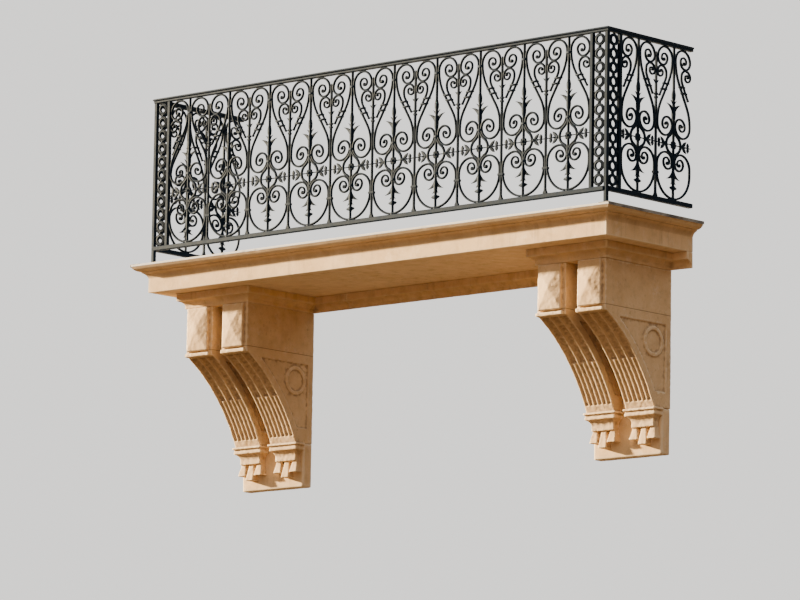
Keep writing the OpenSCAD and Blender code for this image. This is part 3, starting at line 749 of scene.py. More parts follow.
@dataclass(frozen=True)
class ScrollPanel:
    """One scroll panel: two mirrored sets of scrolls on a middle bar with rosette, bud and leaves.

    Attributes:
        lines: Its centre lines.
        coil_share: Width of a strip at the end of its coils, as a share.
        tail_share: Width of the heart scroll at its tail, as a share.
        knee_coil: Coil of the lower scroll.
        top_coil: Coil of the large scroll under the handrail.
        bowl_coil: Coil of the large scroll in its bowl.
        heart_coil: Coil of the heart scroll.
        clips: Places of the two clips along the heart scroll's tail.
        clip_play: Reach of a clip beyond the strips that it holds.
        collar_w: Half width of a collar.
        collar_h: Half height of a collar.
    """

    lines: PanelLines
    coil_share: float = 0.72
    tail_share: float = 0.8
    knee_coil: CoilShape = CoilShape((0.684, 0.465, 0.23), 125, 0.0045, 0.011, 0.003)
    top_coil: CoilShape = CoilShape((1, 0.65, 0.39, 0.23), 120, 0.0045, 0.011, 0.003)
    bowl_coil: CoilShape = CoilShape((0.665, 0.39, 0.19), 170, 0.0025, 0.009, 0.002)
    heart_coil: CoilShape = CoilShape((1, 0.595, 0.38), 160, 0.0025, 0.009, 0.002)
    clips: tuple[float, float] = (0.2, 0.58)
    clip_play: float = 0.002
    collar_w: float = 0.0195
    collar_h: float = 0.0085

    def build(self) -> Casting:
        """Builds the whole panel on X = 0 and Y = 0.

        Returns:
            The panel.
        """
        half = Casting()
        self._lower_scroll(half)
        self._large_scroll(half)
        self._heart_scroll(half)
        self._lozenge(half)
        self._fleuron(half)
        panel = Casting()
        panel.include_pair(half)
        self._middle_bar(panel)
        return panel

    def _scroll(self, part: Casting, path: np.ndarray, head: float, tail: float) -> None:
        """Adds one scrolled strip that narrows towards its coils."""
        part.strip(path, tapered(path, self.lines.strip_w, head, tail), self.lines.bar_d)

    def _bulb(self, part: Casting, coil: Coil, shape: CoilShape) -> None:
        """Adds the bulb that ends a coil."""
        part.bulb(coil.bulb, shape.bulb_r, self.lines.bar_d + shape.bulb_lift)

    def _lower_scroll(self, part: Casting) -> None:
        """Adds the scroll that stands on the bottom rail.

        Args:
            part: The casting that it joins.
        """
        at, r = self.lines, self.lines.bowl_r
        coil = Coil.wound((at.knee_x + at.knee_r, at.knee_z), at.knee_r, self.knee_coil, -1)
        path = joined(
            arc((0, at.bowl_z), r, 270, 180),
            line((-r, at.bowl_z), (-r, at.bowl_z + at.knee_run)),
            arc((at.knee_x, at.bowl_z + at.knee_run), r + at.knee_x, 180, 90),
            arc((at.knee_x, at.knee_z), at.knee_r, 90, 0),
            coil.path,
        )
        self._scroll(part, path, 1.0, self.coil_share)
        self._bulb(part, coil, self.knee_coil)

    def _large_scroll(self, part: Casting) -> None:
        """Adds the scroll from the coil under the handrail to the coil in its lower bowl.

        Args:
            part: The casting that it joins.
        """
        at, r, inner, neck = self.lines, self.lines.large_r, self.lines.inner_x, self.lines.neck_r
        hip, turn = at.bends_r - neck, math.degrees(at.tilt)
        top = Coil.wound((inner, at.large_z), r, self.top_coil, 1)
        low = Coil.wound((inner, at.low_z), r, self.bowl_coil, 1)
        path = joined(
            top.path[::-1],
            arc((inner - neck, at.large_z), neck, 0, -turn),
            arc((inner - 2 * r + hip, at.hip_z), hip, 180 - turn, 180),
            arc((inner - r, at.low_z), r, 180, 360),
            low.path,
        )
        self._scroll(part, path, self.coil_share, self.coil_share)
        self._bulb(part, top, self.top_coil)
        self._bulb(part, low, self.bowl_coil)

    def _heart_scroll(self, part: Casting) -> None:
        """Adds the heart scroll beside the outer bar and its two clips to the large scroll.

        Args:
            part: The casting that it joins.
        """
        at, a = self.lines, self.lines.tilt
        stem_x, stem_z = 2 * at.heart_r - at.bowl_r, at.heart_z - at.strip_w / 2
        coil = Coil.wound((stem_x, at.heart_z), at.heart_r, self.heart_coil, 1)
        path = joined(
            coil.path[::-1],
            arc((stem_x - at.heart_bend_r, stem_z), at.heart_bend_r, 0, -math.degrees(a)),
            line((at.bend_x, at.bend_z), (at.tail_x, at.tail_z)),
        )
        self._scroll(part, path, self.coil_share, self.tail_share)
        self._bulb(part, coil, self.heart_coil)
        part.bulb((at.tail_x, at.tail_z), 7 * MM, at.bar_d + MM, 12)
        neck_x, neck_z = at.inner_x - at.neck_r * (1 - math.cos(a)), at.large_z - at.neck_r * math.sin(a)
        deep = at.bar_d / 2 + 2.2 * MM
        for down in self.clips:
            z = at.bend_z - down * (at.bend_z - at.tail_z)
            left = at.bend_x - (at.bend_z - z) * math.tan(a) - at.strip_w / 2 - self.clip_play
            right = neck_x - (neck_z - z) * math.tan(a) + at.strip_w / 2 + self.clip_play
            reach = (right - left) / 2
            clip = Casting()
            clip.stack([(rise * MM, reach - less * MM, deep - thinner * MM) for rise, less, thinner in CLIP])
            part.include(clip, Matrix.Translation(((left + right) / 2, 0, z)))

    def _lozenge(self, part: Casting) -> None:
        """Adds the side of the lozenge between the upper and the lower scrolls.

        Args:
            part: The casting that it joins.
        """
        at = self.lines
        side, middle, z = -at.lozenge_w / 2, -at.half / 2, at.mid_z
        high_r = at.large_r + (at.strip_w + at.lozenge_strip_w) / 2 - at.weld
        low_r = at.knee_r + (at.strip_w + at.lozenge_strip_w) / 2 - at.weld

        def bend(across: float, rise: float, radius: float) -> tuple[float, float]:
            """Radius of a side bend that touches a circle, and its angle there."""
            size = (across**2 + rise**2 - radius**2) / (2 * (radius - across))
            return size, math.degrees(math.atan2(rise, -across - size))

        high, high_a = bend(side - middle, at.low_z - z, high_r)
        low, low_a = bend(side - at.knee_x, z - at.knee_z, low_r)
        path = joined(
            arc((middle, at.low_z), high_r, -12, high_a - 180),
            arc((side + high, z), high, high_a, 180),
            arc((side + low, z), low, 180, 360 - low_a),
            arc((at.knee_x, at.knee_z), low_r, 180 - low_a, 12),
        )
        part.strip(path, tapered(path, at.lozenge_strip_w, 0.7, 0.7, 0.05), at.bar_d - 1.5 * MM)

    def _fleuron(self, part: Casting) -> None:
        """Adds the thin link from the rosette to the outer bar with its petals and knobs.

        Args:
            part: The casting that it joins.
        """
        at = self.lines
        side, z = -at.lozenge_w / 2, at.mid_z
        reach = at.half - at.bar_w / 2 - at.railing.seat
        part.strip(line((-14 * MM, z), (-reach, z)), 6 * MM, 10 * MM)
        part.bulb((side - 13 * MM, z), 9.5 * MM, at.bar_d, 12)
        part.bulb((side - 41 * MM, z), 6 * MM, at.bar_d - 2 * MM, 12)
        petals = Casting()
        petals.leaves(FLEURON_LEAVES, z, at.bar_d, side)
        part.include_pair(petals, Matrix.Translation((0, 0, 2 * z)) @ Matrix.Scale(-1, 4, (0, 0, 1)))

    def _middle_bar(self, part: Casting) -> None:
        """Adds the middle bar with its rosette, bud, leaves, knop and collars.

        Args:
            part: The casting that it joins.
        """
        at = self.lines
        w, d, bud, root, knop = at.bar_w / 2, at.bar_d / 2, at.bud_z, at.root_z, at.knop_z
        levels = swollen(w, d, (at.railing.sill, FOOT), (knop, KNOP), (root, ROOT), (bud, BUD))
        part.stack([*levels, (at.railing.under, w, d)])
        part.bulb((0, at.mid_z), 8.5 * MM, at.bar_d + 12 * MM, 14)
        part.rosette((0, at.mid_z), 26 * MM, at.bar_d + 6 * MM)
        leaves = Casting()
        for level, rows in ((bud, BUD_LEAVES), (root, ROOT_LEAVES), (knop, KNOP_LEAVES)):
            leaves.leaves(rows, level, at.bar_d)
        part.include_pair(leaves)
        for z in (at.large_z - 13 * MM, at.low_z - 11 * MM, at.knee_z - 6 * MM):
            self._collar(part, z)

    def _collar(self, part: Casting, z: float) -> None:
        """Adds a forged collar that clasps the scrolls to the middle bar.

        Args:
            part: The casting that it joins.
            z: Level of its middle.
        """
        deep = self.lines.bar_d / 2 + 2 * MM
        rows = [(z + share * self.collar_h, self.collar_w - w * MM, deep - d * MM) for share, w, d in COLLAR]
        part.stack(rows, bevel=4.5 * MM)


@dataclass(frozen=True)
class Upright:
    """Pointed bar between two panels, with leaves, beads, a rod and a strap.

    Attributes:
        lines: Centre lines of the panels beside it.
        tip_rise: Height of its point over the middle of the large scrolls.
        strap_drop: Distance of the strap under the centre of the bowls.
        bead_drop: Distance of the lower bead under the upper one.
        rod_w: Width of the rod through the upper bead.
        rod_d: Depth of that rod.
    """

    lines: PanelLines
    tip_rise: float = 0.029
    strap_drop: float = 0.013
    bead_drop: float = 0.020
    rod_w: float = 0.0045
    rod_d: float = 0.009

    def build(self) -> Casting:
        """Builds the bar on X = 0 and Y = 0.

        Returns:
            The bar.
        """
        at, part = self.lines, Casting()
        w, d = at.bar_w / 2, at.bar_d / 2
        tip, strap = at.large_z + self.tip_rise, at.bowl_z - self.strap_drop
        beads = ((at.tail_z - self.bead_drop, BEAD), (at.tail_z, BEAD))
        levels = swollen(w, d, (at.railing.sill, UPRIGHT_FOOT), (strap, STRAP), *beads, (tip, NECK))
        part.stack([*levels, (tip - MM, 1.2 * MM, 2 * MM)])
        rod = at.half + at.tail_x - at.strip_w / 2 - at.weld / 2 - at.railing.seat
        part.strip(line((-rod, at.tail_z), (rod, at.tail_z)), self.rod_w, self.rod_d)
        leaf, plate = Casting(), Casting()
        leaf.leaves(UPRIGHT_LEAVES, at.heart_z, at.bar_d)
        plate.stack([(rise * MM, wide * MM, deep * MM) for rise, wide, deep in PLATE])
        part.include_pair(leaf)
        for way in (1, -1):
            part.include(plate, Matrix.Translation((0, way * (d + MM), strap)))
        return part


@dataclass(frozen=True)
class Pilaster:
    """Column of rings between an inner post and the corner post.

    Attributes:
        railing: Lines of the railing.
        rings: Number of rings.
        ring_t: Width of a ring's strip.
        ring_d: Thickness of a ring.
        ring_points: Stations round a ring.
        gap: Space between a ring and the posts beside it.
        link_w: Width of the rods between ring and post.
        link_d: Depth of those rods.
        link_in: How far those rods reach into the ring.
        bead_r: Radius of the beads between two rings.
        end_r: Radius of the beads at the rails.
        arris: Bevel of the post.
    """

    railing: RailingSizes
    rings: int = 11
    ring_t: float = 0.0175
    ring_d: float = 0.016
    ring_points: int = 32
    gap: float = 0.0075
    link_w: float = 0.006
    link_d: float = 0.012
    link_in: float = 0.003
    bead_r: float = 0.010
    end_r: float = 0.004
    arris: float = 0.003

    def build(self) -> Casting:
        """Builds it with its first bar's axis on X = 0 and the corner post on the right.

        Returns:
            The pilaster.
        """
        at, part, post = self.railing, Casting(), Casting()
        half = at.post_t / 2
        post.stack(((at.sill, half, half), (at.under, half, half)), bevel=self.arris)
        part.include(post, Matrix.Translation((half - at.bar_w / 2, 0, 0)))
        reach = at.pilaster_w / 2 - at.post_t - self.gap
        x = (at.pilaster_w - at.bar_w) / 2 - at.seat
        pitch = (at.under - at.sill) / self.rings
        for i in range(self.rings):
            z = at.sill + (i + 0.5) * pitch
            self._ring(part, x, z, reach)
            for end in (-1, 1):
                near, far = x + end * (reach - self.link_in), x + end * (reach + self.gap)
                part.strip(line((near, z), (far, z)), self.link_w, self.link_d)
        for i in range(self.rings + 1):
            z = min(max(at.sill + i * pitch, at.sill + self.end_r), at.under - self.end_r)
            part.bulb((x, z), self.bead_r if 0 < i < self.rings else self.end_r, self.ring_d + 2 * MM)
        return part

    def _ring(self, part: Casting, x: float, z: float, reach: float) -> None:
        """Adds a moulded ring, with a thin outer lip round a fuller inner roll.

        Args:
            part: The casting that it joins.
            x: Place of its centre.
            z: Level of its centre.
            reach: Its outer radius.
        """
        inner = reach - self.ring_t
        section = [(inner + share * self.ring_t, level * self.ring_d / 2) for share, level in RING_FACE]
        section += [(r, -y) for r, y in reversed(section)]
        rings = []
        for a in np.linspace(0, 2 * math.pi, self.ring_points, endpoint=False):
            rings.append([(x + r * math.cos(a), y, z + r * math.sin(a)) for r, y in section])
        part.tube(np.array(rings), closed=True)


@dataclass(frozen=True)
class Railing:
    """The iron railing: posts, rails, pilasters, uprights and scroll panels.

    Attributes:
        sizes: Lines of the railing.
        paint: Material of each slot.
        panel_crease: Angle in degrees over which a panel's edge stays sharp.
        post_arris: Bevel of the corner posts.
        sill_arris: Bevel of the bottom rails.
        sill_stop: Distance of the bottom rails' ends from the corner posts' axes.
        bay: Longest stretch of a rail without a station.
    """

    sizes: RailingSizes
    paint: dict[Slot, bpy.types.Material]
    panel_crease: float = 50.0
    post_arris: float = 0.003
    sill_arris: float = 0.003
    sill_stop: float = 0.012
    bay: float = 0.12

    @property
    def front(self) -> PanelLines:
        """Lines of the panels on the front."""
        return PanelLines(self.sizes.front_half, self.sizes)

    @property
    def side(self) -> PanelLines:
        """Lines of the panels on the returns, whose lower scrolls stand taller since they are narrower."""
        taller = 2 * (self.sizes.front_half - self.sizes.side_half)
        return PanelLines(self.sizes.side_half, self.sizes, knee_run=self.front.knee_run + taller)

    def on_front(self, x: float) -> Matrix:
        """Place of a casting on the front, at the distance x from the middle line."""
        return Matrix.Translation((x, self.sizes.axis_y, 0))

    def on_side(self, y: float, way: int = 1) -> Matrix:
        """Place of a casting on a return, 1 for right and -1 for left, at the distance y from the wall."""
        turn = Matrix.Rotation(way * math.pi / 2, 4, "Z")
        return Matrix.Translation((way * self.sizes.axis_x, -y, 0)) @ turn

    def build(self) -> None:
        """Builds every piece of the railing."""
        self._panels()
        self._uprights()
        self._pilasters()
        self._posts()
        self._rails()

    def _place(self, node: str, mesh: bpy.types.Mesh, place: Matrix | None = None) -> None:
        """Places a piece of wrought iron that stands for one solid.

        Args:
            node: The solid.
            mesh: Its mesh.
            place: Where it goes.
        """
        place_piece(f"iron_{node}", mesh, self.paint, Slot.IRON, [node], place)

    def _panels(self) -> None:
        """Places the scroll panels, which share one mesh for the front and one for the returns."""
        at = self.sizes
        front = ScrollPanel(self.front).build().mesh("scroll_panel_front", self.panel_crease)
        side = ScrollPanel(self.side).build().mesh("scroll_panel_return", self.panel_crease)
        for i in range(at.front_panels):
            place = self.on_front((2 * i + 1 - at.front_panels) * at.front_half)
            self._place(f"front_panel_{i + 1:02d}", front, place)
        for i in range(at.side_panels):
            for name, way in SIDES:
                self._place(f"{name}_panel_{i + 1}", side, self.on_side((2 * i + 1) * at.side_half, way))

    def _uprights(self) -> None:
        """Places the pointed bars."""
        at = self.sizes
        bar, front = Upright(self.front).build(), Casting()
        for i in range(1, at.front_panels):
            front.include(bar, self.on_front((2 * i - at.front_panels) * at.front_half))
        self._place("uprights_front", front.mesh("uprights_front"))
        bar = Upright(self.side).build()
        for name, way in SIDES:
            side = Casting()
            for i in range(1, at.side_panels):
                place = self.on_side(2 * i * at.side_half)
                side.include(bar, place if way > 0 else MIRROR_X @ place)
            self._place(f"uprights_{name}", side.mesh(f"uprights_{name}"))

    def _pilasters(self) -> None:
        """Places the four pilasters beside the corner posts."""
        at, part = self.sizes, Pilaster(self.sizes).build()
        front, side = self.on_front(at.front_run), self.on_side(at.side_run) @ MIRROR_X
        for run, right in (("front", front), ("side", side)):
            for name, place in (("right", right), ("left", MIRROR_X @ right)):
                node, piece = f"pilaster_{run}_{name}", Casting()
                piece.include(part, place)
                self._place(node, piece.mesh(node))

    def _posts(self) -> None:
        """Places the corner posts, which stand in their bedding on the slab."""
        at = self.sizes
        half, foot, top = at.post_t / 2, at.slab_top, at.under
        post = Casting()
        levels = [(z, half, half) for z in (foot, top - 20 * MM, top)]
        post.stack(levels, bevel=self.post_arris)
        for name, way in SIDES:
            part, node = Casting(), f"corner_post_{name}"
            part.include(post, Matrix.Translation((way * at.axis_x, at.axis_y, 0)))
            place_piece(f"iron_{node}", part.mesh(node), self.paint, Slot.IRON_RAILS, [node])

    def _rails(self) -> None:
        """Places the handrail and the bottom rail on the front and both returns."""
        at, cut, stop = self.sizes, self.sill_arris, self.sill_stop
        w, b, x, y = at.handrail_w / 2, at.bottom_rail_w / 2, at.axis_x, at.axis_y
        tables = ((at.under, HANDRAIL_LOW), (at.top, HANDRAIL_HIGH))
        right = [(w - inside * MM, z + rise * MM) for z, table in tables for inside, rise in table]
        hand = right + [(-u, z) for u, z in reversed(right)]
        low, high = at.sill_foot, at.sill
        sill = [(-b + cut, low), (b - cut, low), (b, low + cut), (b, high - cut)]
        sill += [(b - cut, high), (-b + cut, high), (-b, high - cut), (-b, low + cut)]
        self._rail("handrail_front", hand, [(-x, y), (x, y)], (1, 1), 1)
        self._rail("bottom_rail_front", sill, [(-x + stop, y), (x - stop, y)], (0, 0), 1)
        for name, way in SIDES:
            self._rail(f"handrail_{name}", hand, [(way * x, y), (way * x, 0.0)], (1, 0), way)
            self._rail(f"bottom_rail_{name}", sill, [(way * x, y + stop), (way * x, 0.0)], (0, 0), way)

    def _rail(
        self, node: str, outline: Sequence[tuple[float, float]], ends: Sequence[tuple[float, float]],
        mitres: tuple[int, int], way: int,
    ) -> None:
        """Places one straight rail, mitred where it meets another at a corner.

        Args:
            node: The solid that it stands for.
            outline: Cross-section, (distance outwards, level).
            ends: Its two end points in plan.
            mitres: 1 for each end that is cut at 45 degrees.
            way: 1 where outwards lies on the right of the way from the first end to the last.
        """
        start, end = np.array(ends[0]), np.array(ends[1])
        length = np.linalg.norm(end - start)
        along = (end - start) / length
        out = np.array([along[1], -along[0]]) * way
        stations = np.linspace(0, 1, max(2, int(length / self.bay) + 1))
        rings = np.zeros((len(stations), len(outline), 3))
        for i, share in enumerate(stations):
            for k, (u, z) in enumerate(outline):
                grow = u if (i == 0 and mitres[0]) or (i == len(stations) - 1 and mitres[1]) else 0.0
                shift = -grow if i == 0 else grow
                spot = start + along * (length * share + shift) + out * u
                rings[i, k] = (spot[0], spot[1], z)
        part = Casting()
        part.tube(rings)
        place_piece(f"iron_{node}", part.mesh(node), self.paint, Slot.IRON_RAILS, [node], fix_normals=True)


def place_piece(
    name: str, mesh: bpy.types.Mesh, paint: dict[Slot, bpy.types.Material], slot: Slot, nodes: Sequence[str],
    place: Matrix | None = None, fix_normals: bool = False,
) -> bpy.types.Object:
    """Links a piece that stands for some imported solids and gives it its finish.

    Args:
        name: Name of the piece.
        mesh: Its mesh.
        paint: Material of each slot.
        slot: Its finish slot.
        nodes: The solids that it stands for.
        place: Where it goes.
        fix_normals: Whether its faces are first turned outwards.

    Returns:
        The piece.
    """
    if fix_normals:
        work = bmesh.new()
        work.from_mesh(mesh)
        bmesh.ops.recalc_face_normals(work, faces=work.faces)
        work.to_mesh(mesh)
        work.free()
    piece = bpy.data.objects.new(name, mesh)
    bpy.context.scene.collection.objects.link(piece)
    if place is not None:
        piece.matrix_world = place
    if not mesh.materials:
        mesh.materials.append(paint[slot])
    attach(piece, BODY)
    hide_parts(*nodes)
    LOG.info("%s: %d faces, for %s", name, len(mesh.polygons), ", ".join(nodes))
    return piece


# Stone

# Waves that a soft noise adds up, and the sum that counts as 1
WAVES, FULL_SWING = 14, 5.3
# Distance over its neighbours at which a point counts as a full arris
FULL_ARRIS = 0.0012


@dataclass(frozen=True)
class Wear:
    """How a worn stone is made from its solid.

    Attributes:
        voxel: Size of the cells that its surface is rebuilt with.
        soften: Rounds of smoothing, which take the sharpness off the arrises.
        rough: Height of the hollows and swellings.
        grain: Size of those hollows.
        keep: Share of the faces that is kept.
        press: How far the foremost point is worn back.
    """

    voxel: float
    soften: int
    rough: float
    grain: float
    keep: float
    press: float = 0.0


def soft_noise(spots: np.ndarray, scale: float, seed: int) -> np.ndarray:
    """Smooth noise between -1 and 1, made of waves in random directions.

    Args:
        spots: Rows of (x, y, z).
        scale: Length of the shortest wave in metres.
        seed: Seed of the directions.

    Returns:
        One value for each row.
    """
    dice = np.random.default_rng(seed)
    total = np.zeros(spots.shape[:-1])
    for _ in range(WAVES):
        way = dice.normal(size=3)
        way *= 2 * math.pi / (scale * dice.uniform(1.0, 4.0)) / np.linalg.norm(way)
        total += np.sin(spots @ way + dice.uniform(0, 2 * math.pi))
    return total / FULL_SWING


@dataclass(frozen=True)
class SlabSizes:
    """Edge moulding of the slab, and how it is worn.

    Attributes:
        thickness: Thickness of the slab.
        edge_out: Reach of its top edge beyond the railing.
        edge_t: Thickness of that edge.
        fillet_out: Reach of the fillet under the upper hollow.
        fillet_drop: Depth of that fillet below the top.
        fillet_t: Thickness of that fillet.
        fascia_out: Reach of the fascia.
        fascia_drop: Depth of the fascia's top below the slab's top.
        spacing: Distance between two stations along the edge.
        worn: Mean depth that the weather took off.
        worn_wave: Length of the waves of that wear.
        nick: Depth of the nicks in the arrises.
        nick_wave: Length of those nicks.
    """

    thickness: float = 0.167
    edge_out: float = 0.087
    edge_t: float = 0.012
    fillet_out: float = 0.040
    fillet_drop: float = 0.042
    fillet_t: float = 0.006
    fascia_out: float = 0.008
    fascia_drop: float = 0.082
    spacing: float = 0.011
    worn: float = 0.0007
    worn_wave: float = 0.09
    nick: float = 0.0055
    nick_wave: float = 0.022

    def profile(self) -> tuple[np.ndarray, np.ndarray]:
        """Works out the edge from its top down.

        Returns:
            Rows of (reach beyond the railing, depth below the top), and how sharp an arris each row is.
        """
        edge, fillet, fascia = self.edge_out, self.fillet_out, self.fascia_out
        upper, lower = -self.fillet_drop, -self.fillet_drop - self.fillet_t
        brow, base = -self.fascia_drop, -self.thickness
        rows = [(edge - 30 * MM, 0, 0), (edge - 4 * MM, 0, 0), (edge - MM, 0, 1)]
        rows += [(edge, -MM, 1), (edge, MM - self.edge_t, 1)]
        rows += self._bowed((edge - MM, -self.edge_t), (fillet, upper), 8 * MM)
        rows += [(fillet, upper - MM, 1), (fillet, MM + lower, 1)]
        rows += self._bowed((fillet - MM, lower), (fascia, brow), -6 * MM)
        rows += [(fascia, brow - MM, 0.6)]
        rows += [(fascia, depth, 0) for depth in np.linspace(brow - 10 * MM, 8 * MM + base, 6)]
        rows += [(fascia, 2 * MM + base, 0.8), (fascia - MM, base, 0.8)]
        rows += [(fascia - 20 * MM, base, 0), (fascia - 80 * MM, base, 0)]
        table = np.array(rows)
        return table[:, :2], table[:, 2]

    @staticmethod
    def _bowed(
        start: tuple[float, float], end: tuple[float, float], bow: float, count: int = 6
    ) -> list[tuple[float, float, float]]:
        """Works out a hollow or round between two points of the edge.

        Args:
            start: Its first point.
            end: Its last point.
            bow: How far it bows outwards.
            count: Number of its points.

        Returns:
            Rows of (reach, depth, how sharp an arris the row is).
        """
        first, last = np.array(start), np.array(end)
        across = np.array([first[1] - last[1], last[0] - first[0]])
        across *= np.sign(across[0]) / np.linalg.norm(across)
        rows = []
        for s in np.linspace(0, 1, count):
            spot = first + (last - first) * s + across * bow * 4 * s * (1 - s)
            rows.append((float(spot[0]), float(spot[1]), 0.7 if s in (0, 1) else 0.0))
        return rows

    def depths(self, rings: np.ndarray, sharp: np.ndarray) -> np.ndarray:
        """Works out how far each point of the edge is worn back.

        Args:
            rings: Stations along the edge, each a row of points.
            sharp: How sharp an arris each point of a row is.

        Returns:
            One depth in metres for each point.
        """
        waves = self.worn * (1 + soft_noise(rings, self.worn_wave, 3))
        nicks = self.nick * np.clip(soft_noise(rings, self.nick_wave, 5) - 0.75, 0, 1.2)
        return waves + nicks * sharp[None, :]


@dataclass(frozen=True)
class Masonry:
    """The stone: slab, bed mouldings, corbels and piers, with sheet and bedding on top.

    Attributes:
        nodes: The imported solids.
        paint: Material of each slot.
        slab: Edge of the slab.
        block: Wear of the piers.
        mould: Wear of the bed mouldings.
        carved: Wear of the corbels.
        lump: Wear of the bedding under the posts.
    """

    nodes: dict[str, bpy.types.Object]
    paint: dict[Slot, bpy.types.Material]
    slab: SlabSizes = SlabSizes()
    block: Wear = Wear(0.007, 2, 0.0016, 0.09, 0.25)
    mould: Wear = Wear(0.0045, 1, 0.0012, 0.06, 0.16)
    carved: Wear = Wear(0.0030, 1, 0.0021, 0.026, 0.2, press=0.007)
    lump: Wear = Wear(0.002, 3, 0.002, 0.02, 0.5)

    def build(self) -> None:
        """Builds every stone piece."""
        self._slab()
        for side in ("left", "right", "wall"):
            self._worn(f"bed_mould_{side}", Slot.STONE, self.mould)
        for side in ("left", "right"):
            self._worn(f"backing_pier_{side}", Slot.STONE, self.block)
        for side in ("outer_left", "inner_left", "inner_right", "outer_right"):
            self._worn(f"corbel_{side}", Slot.STONE_CORBEL, self.carved)
        self._worn("post_feet", Slot.BEDDING, self.lump)
        sheet = self.nodes["slab_capping"].data.materials
        sheet.clear()
        sheet.append(self.paint[Slot.SHEET])

    def _slab(self) -> None:
        """Builds the slab from its edge moulding, followed round three sides."""
        at, part = self.slab, Casting()
        low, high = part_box("balcony_slab")
        profile, sharp = at.profile()
        corners = np.array([(low[0], high[1]), (low[0], low[1]), (high[0], low[1]), (high[0], high[1])])
        outward = np.array([(-1, 0), (-1, -1), (1, -1), (1, 0)], float)
        ends = corners[:, None] + outward[:, None] * (profile[None, :, :1] - at.edge_out)
        rings, ways = [], []
        for i, facing in enumerate(((-1.0, 0.0), (0.0, -1.0), (1.0, 0.0))):
            count = max(2, round(float(np.linalg.norm(corners[i + 1] - corners[i])) / at.spacing))
            for share in np.linspace(0, 1, count, endpoint=i == 2):
                rings.append(ends[i] + (ends[i + 1] - ends[i]) * share)
                ways.append(outward[i] if share == 0 else outward[i + 1] if share == 1 else np.array(facing))
        levels = np.broadcast_to(high[2] + profile[:, 1], (len(rings), len(profile)))
        table = np.concatenate([np.array(rings), levels[..., None]], 2)
        table[..., :2] -= at.depths(table, sharp)[..., None] * np.array(ways)[:, None]
        size, stations = len(profile), len(table)
        faces: list[tuple[int, ...]] = []
        for i in range(stations - 1):
            for k in range(size - 1):
                faces.append((i * size + k, (i + 1) * size + k, (i + 1) * size + k + 1, i * size + k + 1))
        faces.append(tuple(i * size for i in range(stations - 1, -1, -1)))
        faces.append(tuple(i * size + size - 1 for i in range(stations)))
        faces.append((*range(size), *((stations - 1) * size + k for k in range(size - 1, -1, -1))))
        part.add(table.reshape(-1, 3), faces)
        mesh = part.mesh("worn_balcony_slab", 35.0)
        place_piece("stone_balcony_slab", mesh, self.paint, Slot.STONE, ["balcony_slab"], fix_normals=True)
        self._mark_arrises(mesh)

    def _worn(self, node: str, slot: Slot, wear: Wear) -> None:
        """Makes a worn copy of a solid, which then stands for it.

        Args:
            node: The solid.
            slot: Its finish slot.
            wear: How it is worn.
        """
        mesh = self.nodes[node].data.copy()
        for layer in list(mesh.uv_layers):
            mesh.uv_layers.remove(layer)
        front = min(vertex.co.y for vertex in mesh.vertices) + MM
        for vertex in mesh.vertices:
            if vertex.co.y < front:
                vertex.co.y += wear.press
        rough = bpy.data.objects.new(f"rough_{node}", mesh)
        bpy.context.scene.collection.objects.link(rough)
        self._weather(rough, wear)
        graph = bpy.context.evaluated_depsgraph_get()
        done = bpy.data.meshes.new_from_object(rough.evaluated_get(graph))
        bpy.data.objects.remove(rough)
        bpy.data.meshes.remove(mesh)
        done.name = f"worn_{node}"
        done.materials.clear()
        done.shade_smooth()
        self._mark_arrises(done)
        place_piece(f"stone_{node}", done, self.paint, slot, [node])

    @staticmethod
    def _weather(stone: bpy.types.Object, wear: Wear) -> None:
        """Gives a stone the modifiers that wear it.

        Args:
            stone: The stone.
            wear: How it is worn.
        """
        rebuilt = stone.modifiers.new("rebuilt", "REMESH")
        rebuilt.mode = "VOXEL"
        rebuilt.voxel_size = wear.voxel
        rebuilt.use_smooth_shade = True
        softened = stone.modifiers.new("softened", "SMOOTH")
        softened.factor = 0.5
        softened.iterations = wear.soften
        hollows = bpy.data.textures.new(f"hollows_of_{stone.name}", "CLOUDS")
        hollows.noise_scale = wear.grain
        hollows.noise_depth = 3
        dented = stone.modifiers.new("dented", "DISPLACE")
        dented.texture = hollows
        dented.texture_coords = "LOCAL"
        dented.strength = wear.rough * 2
        dented.mid_level = 0.62
        thinned = stone.modifiers.new("thinned", "DECIMATE")
        thinned.ratio = wear.keep

    @staticmethod
    def _mark_arrises(mesh: bpy.types.Mesh) -> None:
        """Stores how far each point stands out from its neighbours, as the attribute arris.

        Args:
            mesh: The stone's mesh.
        """
        count = len(mesh.vertices)
        spots = np.zeros(count * 3, np.float32)
        mesh.vertices.foreach_get("co", spots)
        spots = spots.reshape(-1, 3)
        edges = np.zeros(len(mesh.edges) * 2, np.int32)
        mesh.edges.foreach_get("vertices", edges)
        a, b = edges.reshape(-1, 2).T
        total, ties = np.zeros((count, 3)), np.zeros(count)
        np.add.at(total, a, spots[b])
        np.add.at(total, b, spots[a])
        np.add.at(ties, a, 1)
        np.add.at(ties, b, 1)
        normals = np.zeros(count * 3, np.float32)
        mesh.vertex_normals.foreach_get("vector", normals)
        out = ((spots - total / np.maximum(ties, 1)[:, None]) * normals.reshape(-1, 3)).sum(1)
        for _ in range(2):
            near = np.zeros(count)
            np.add.at(near, a, out[b])
            np.add.at(near, b, out[a])
            out = 0.5 * out + 0.5 * near / np.maximum(ties, 1)
        layer = mesh.attributes.new("arris", "FLOAT", "POINT")
        layer.data.foreach_set("value", np.clip(out / FULL_ARRIS, -1, 1).astype(np.float32))


# Finishes


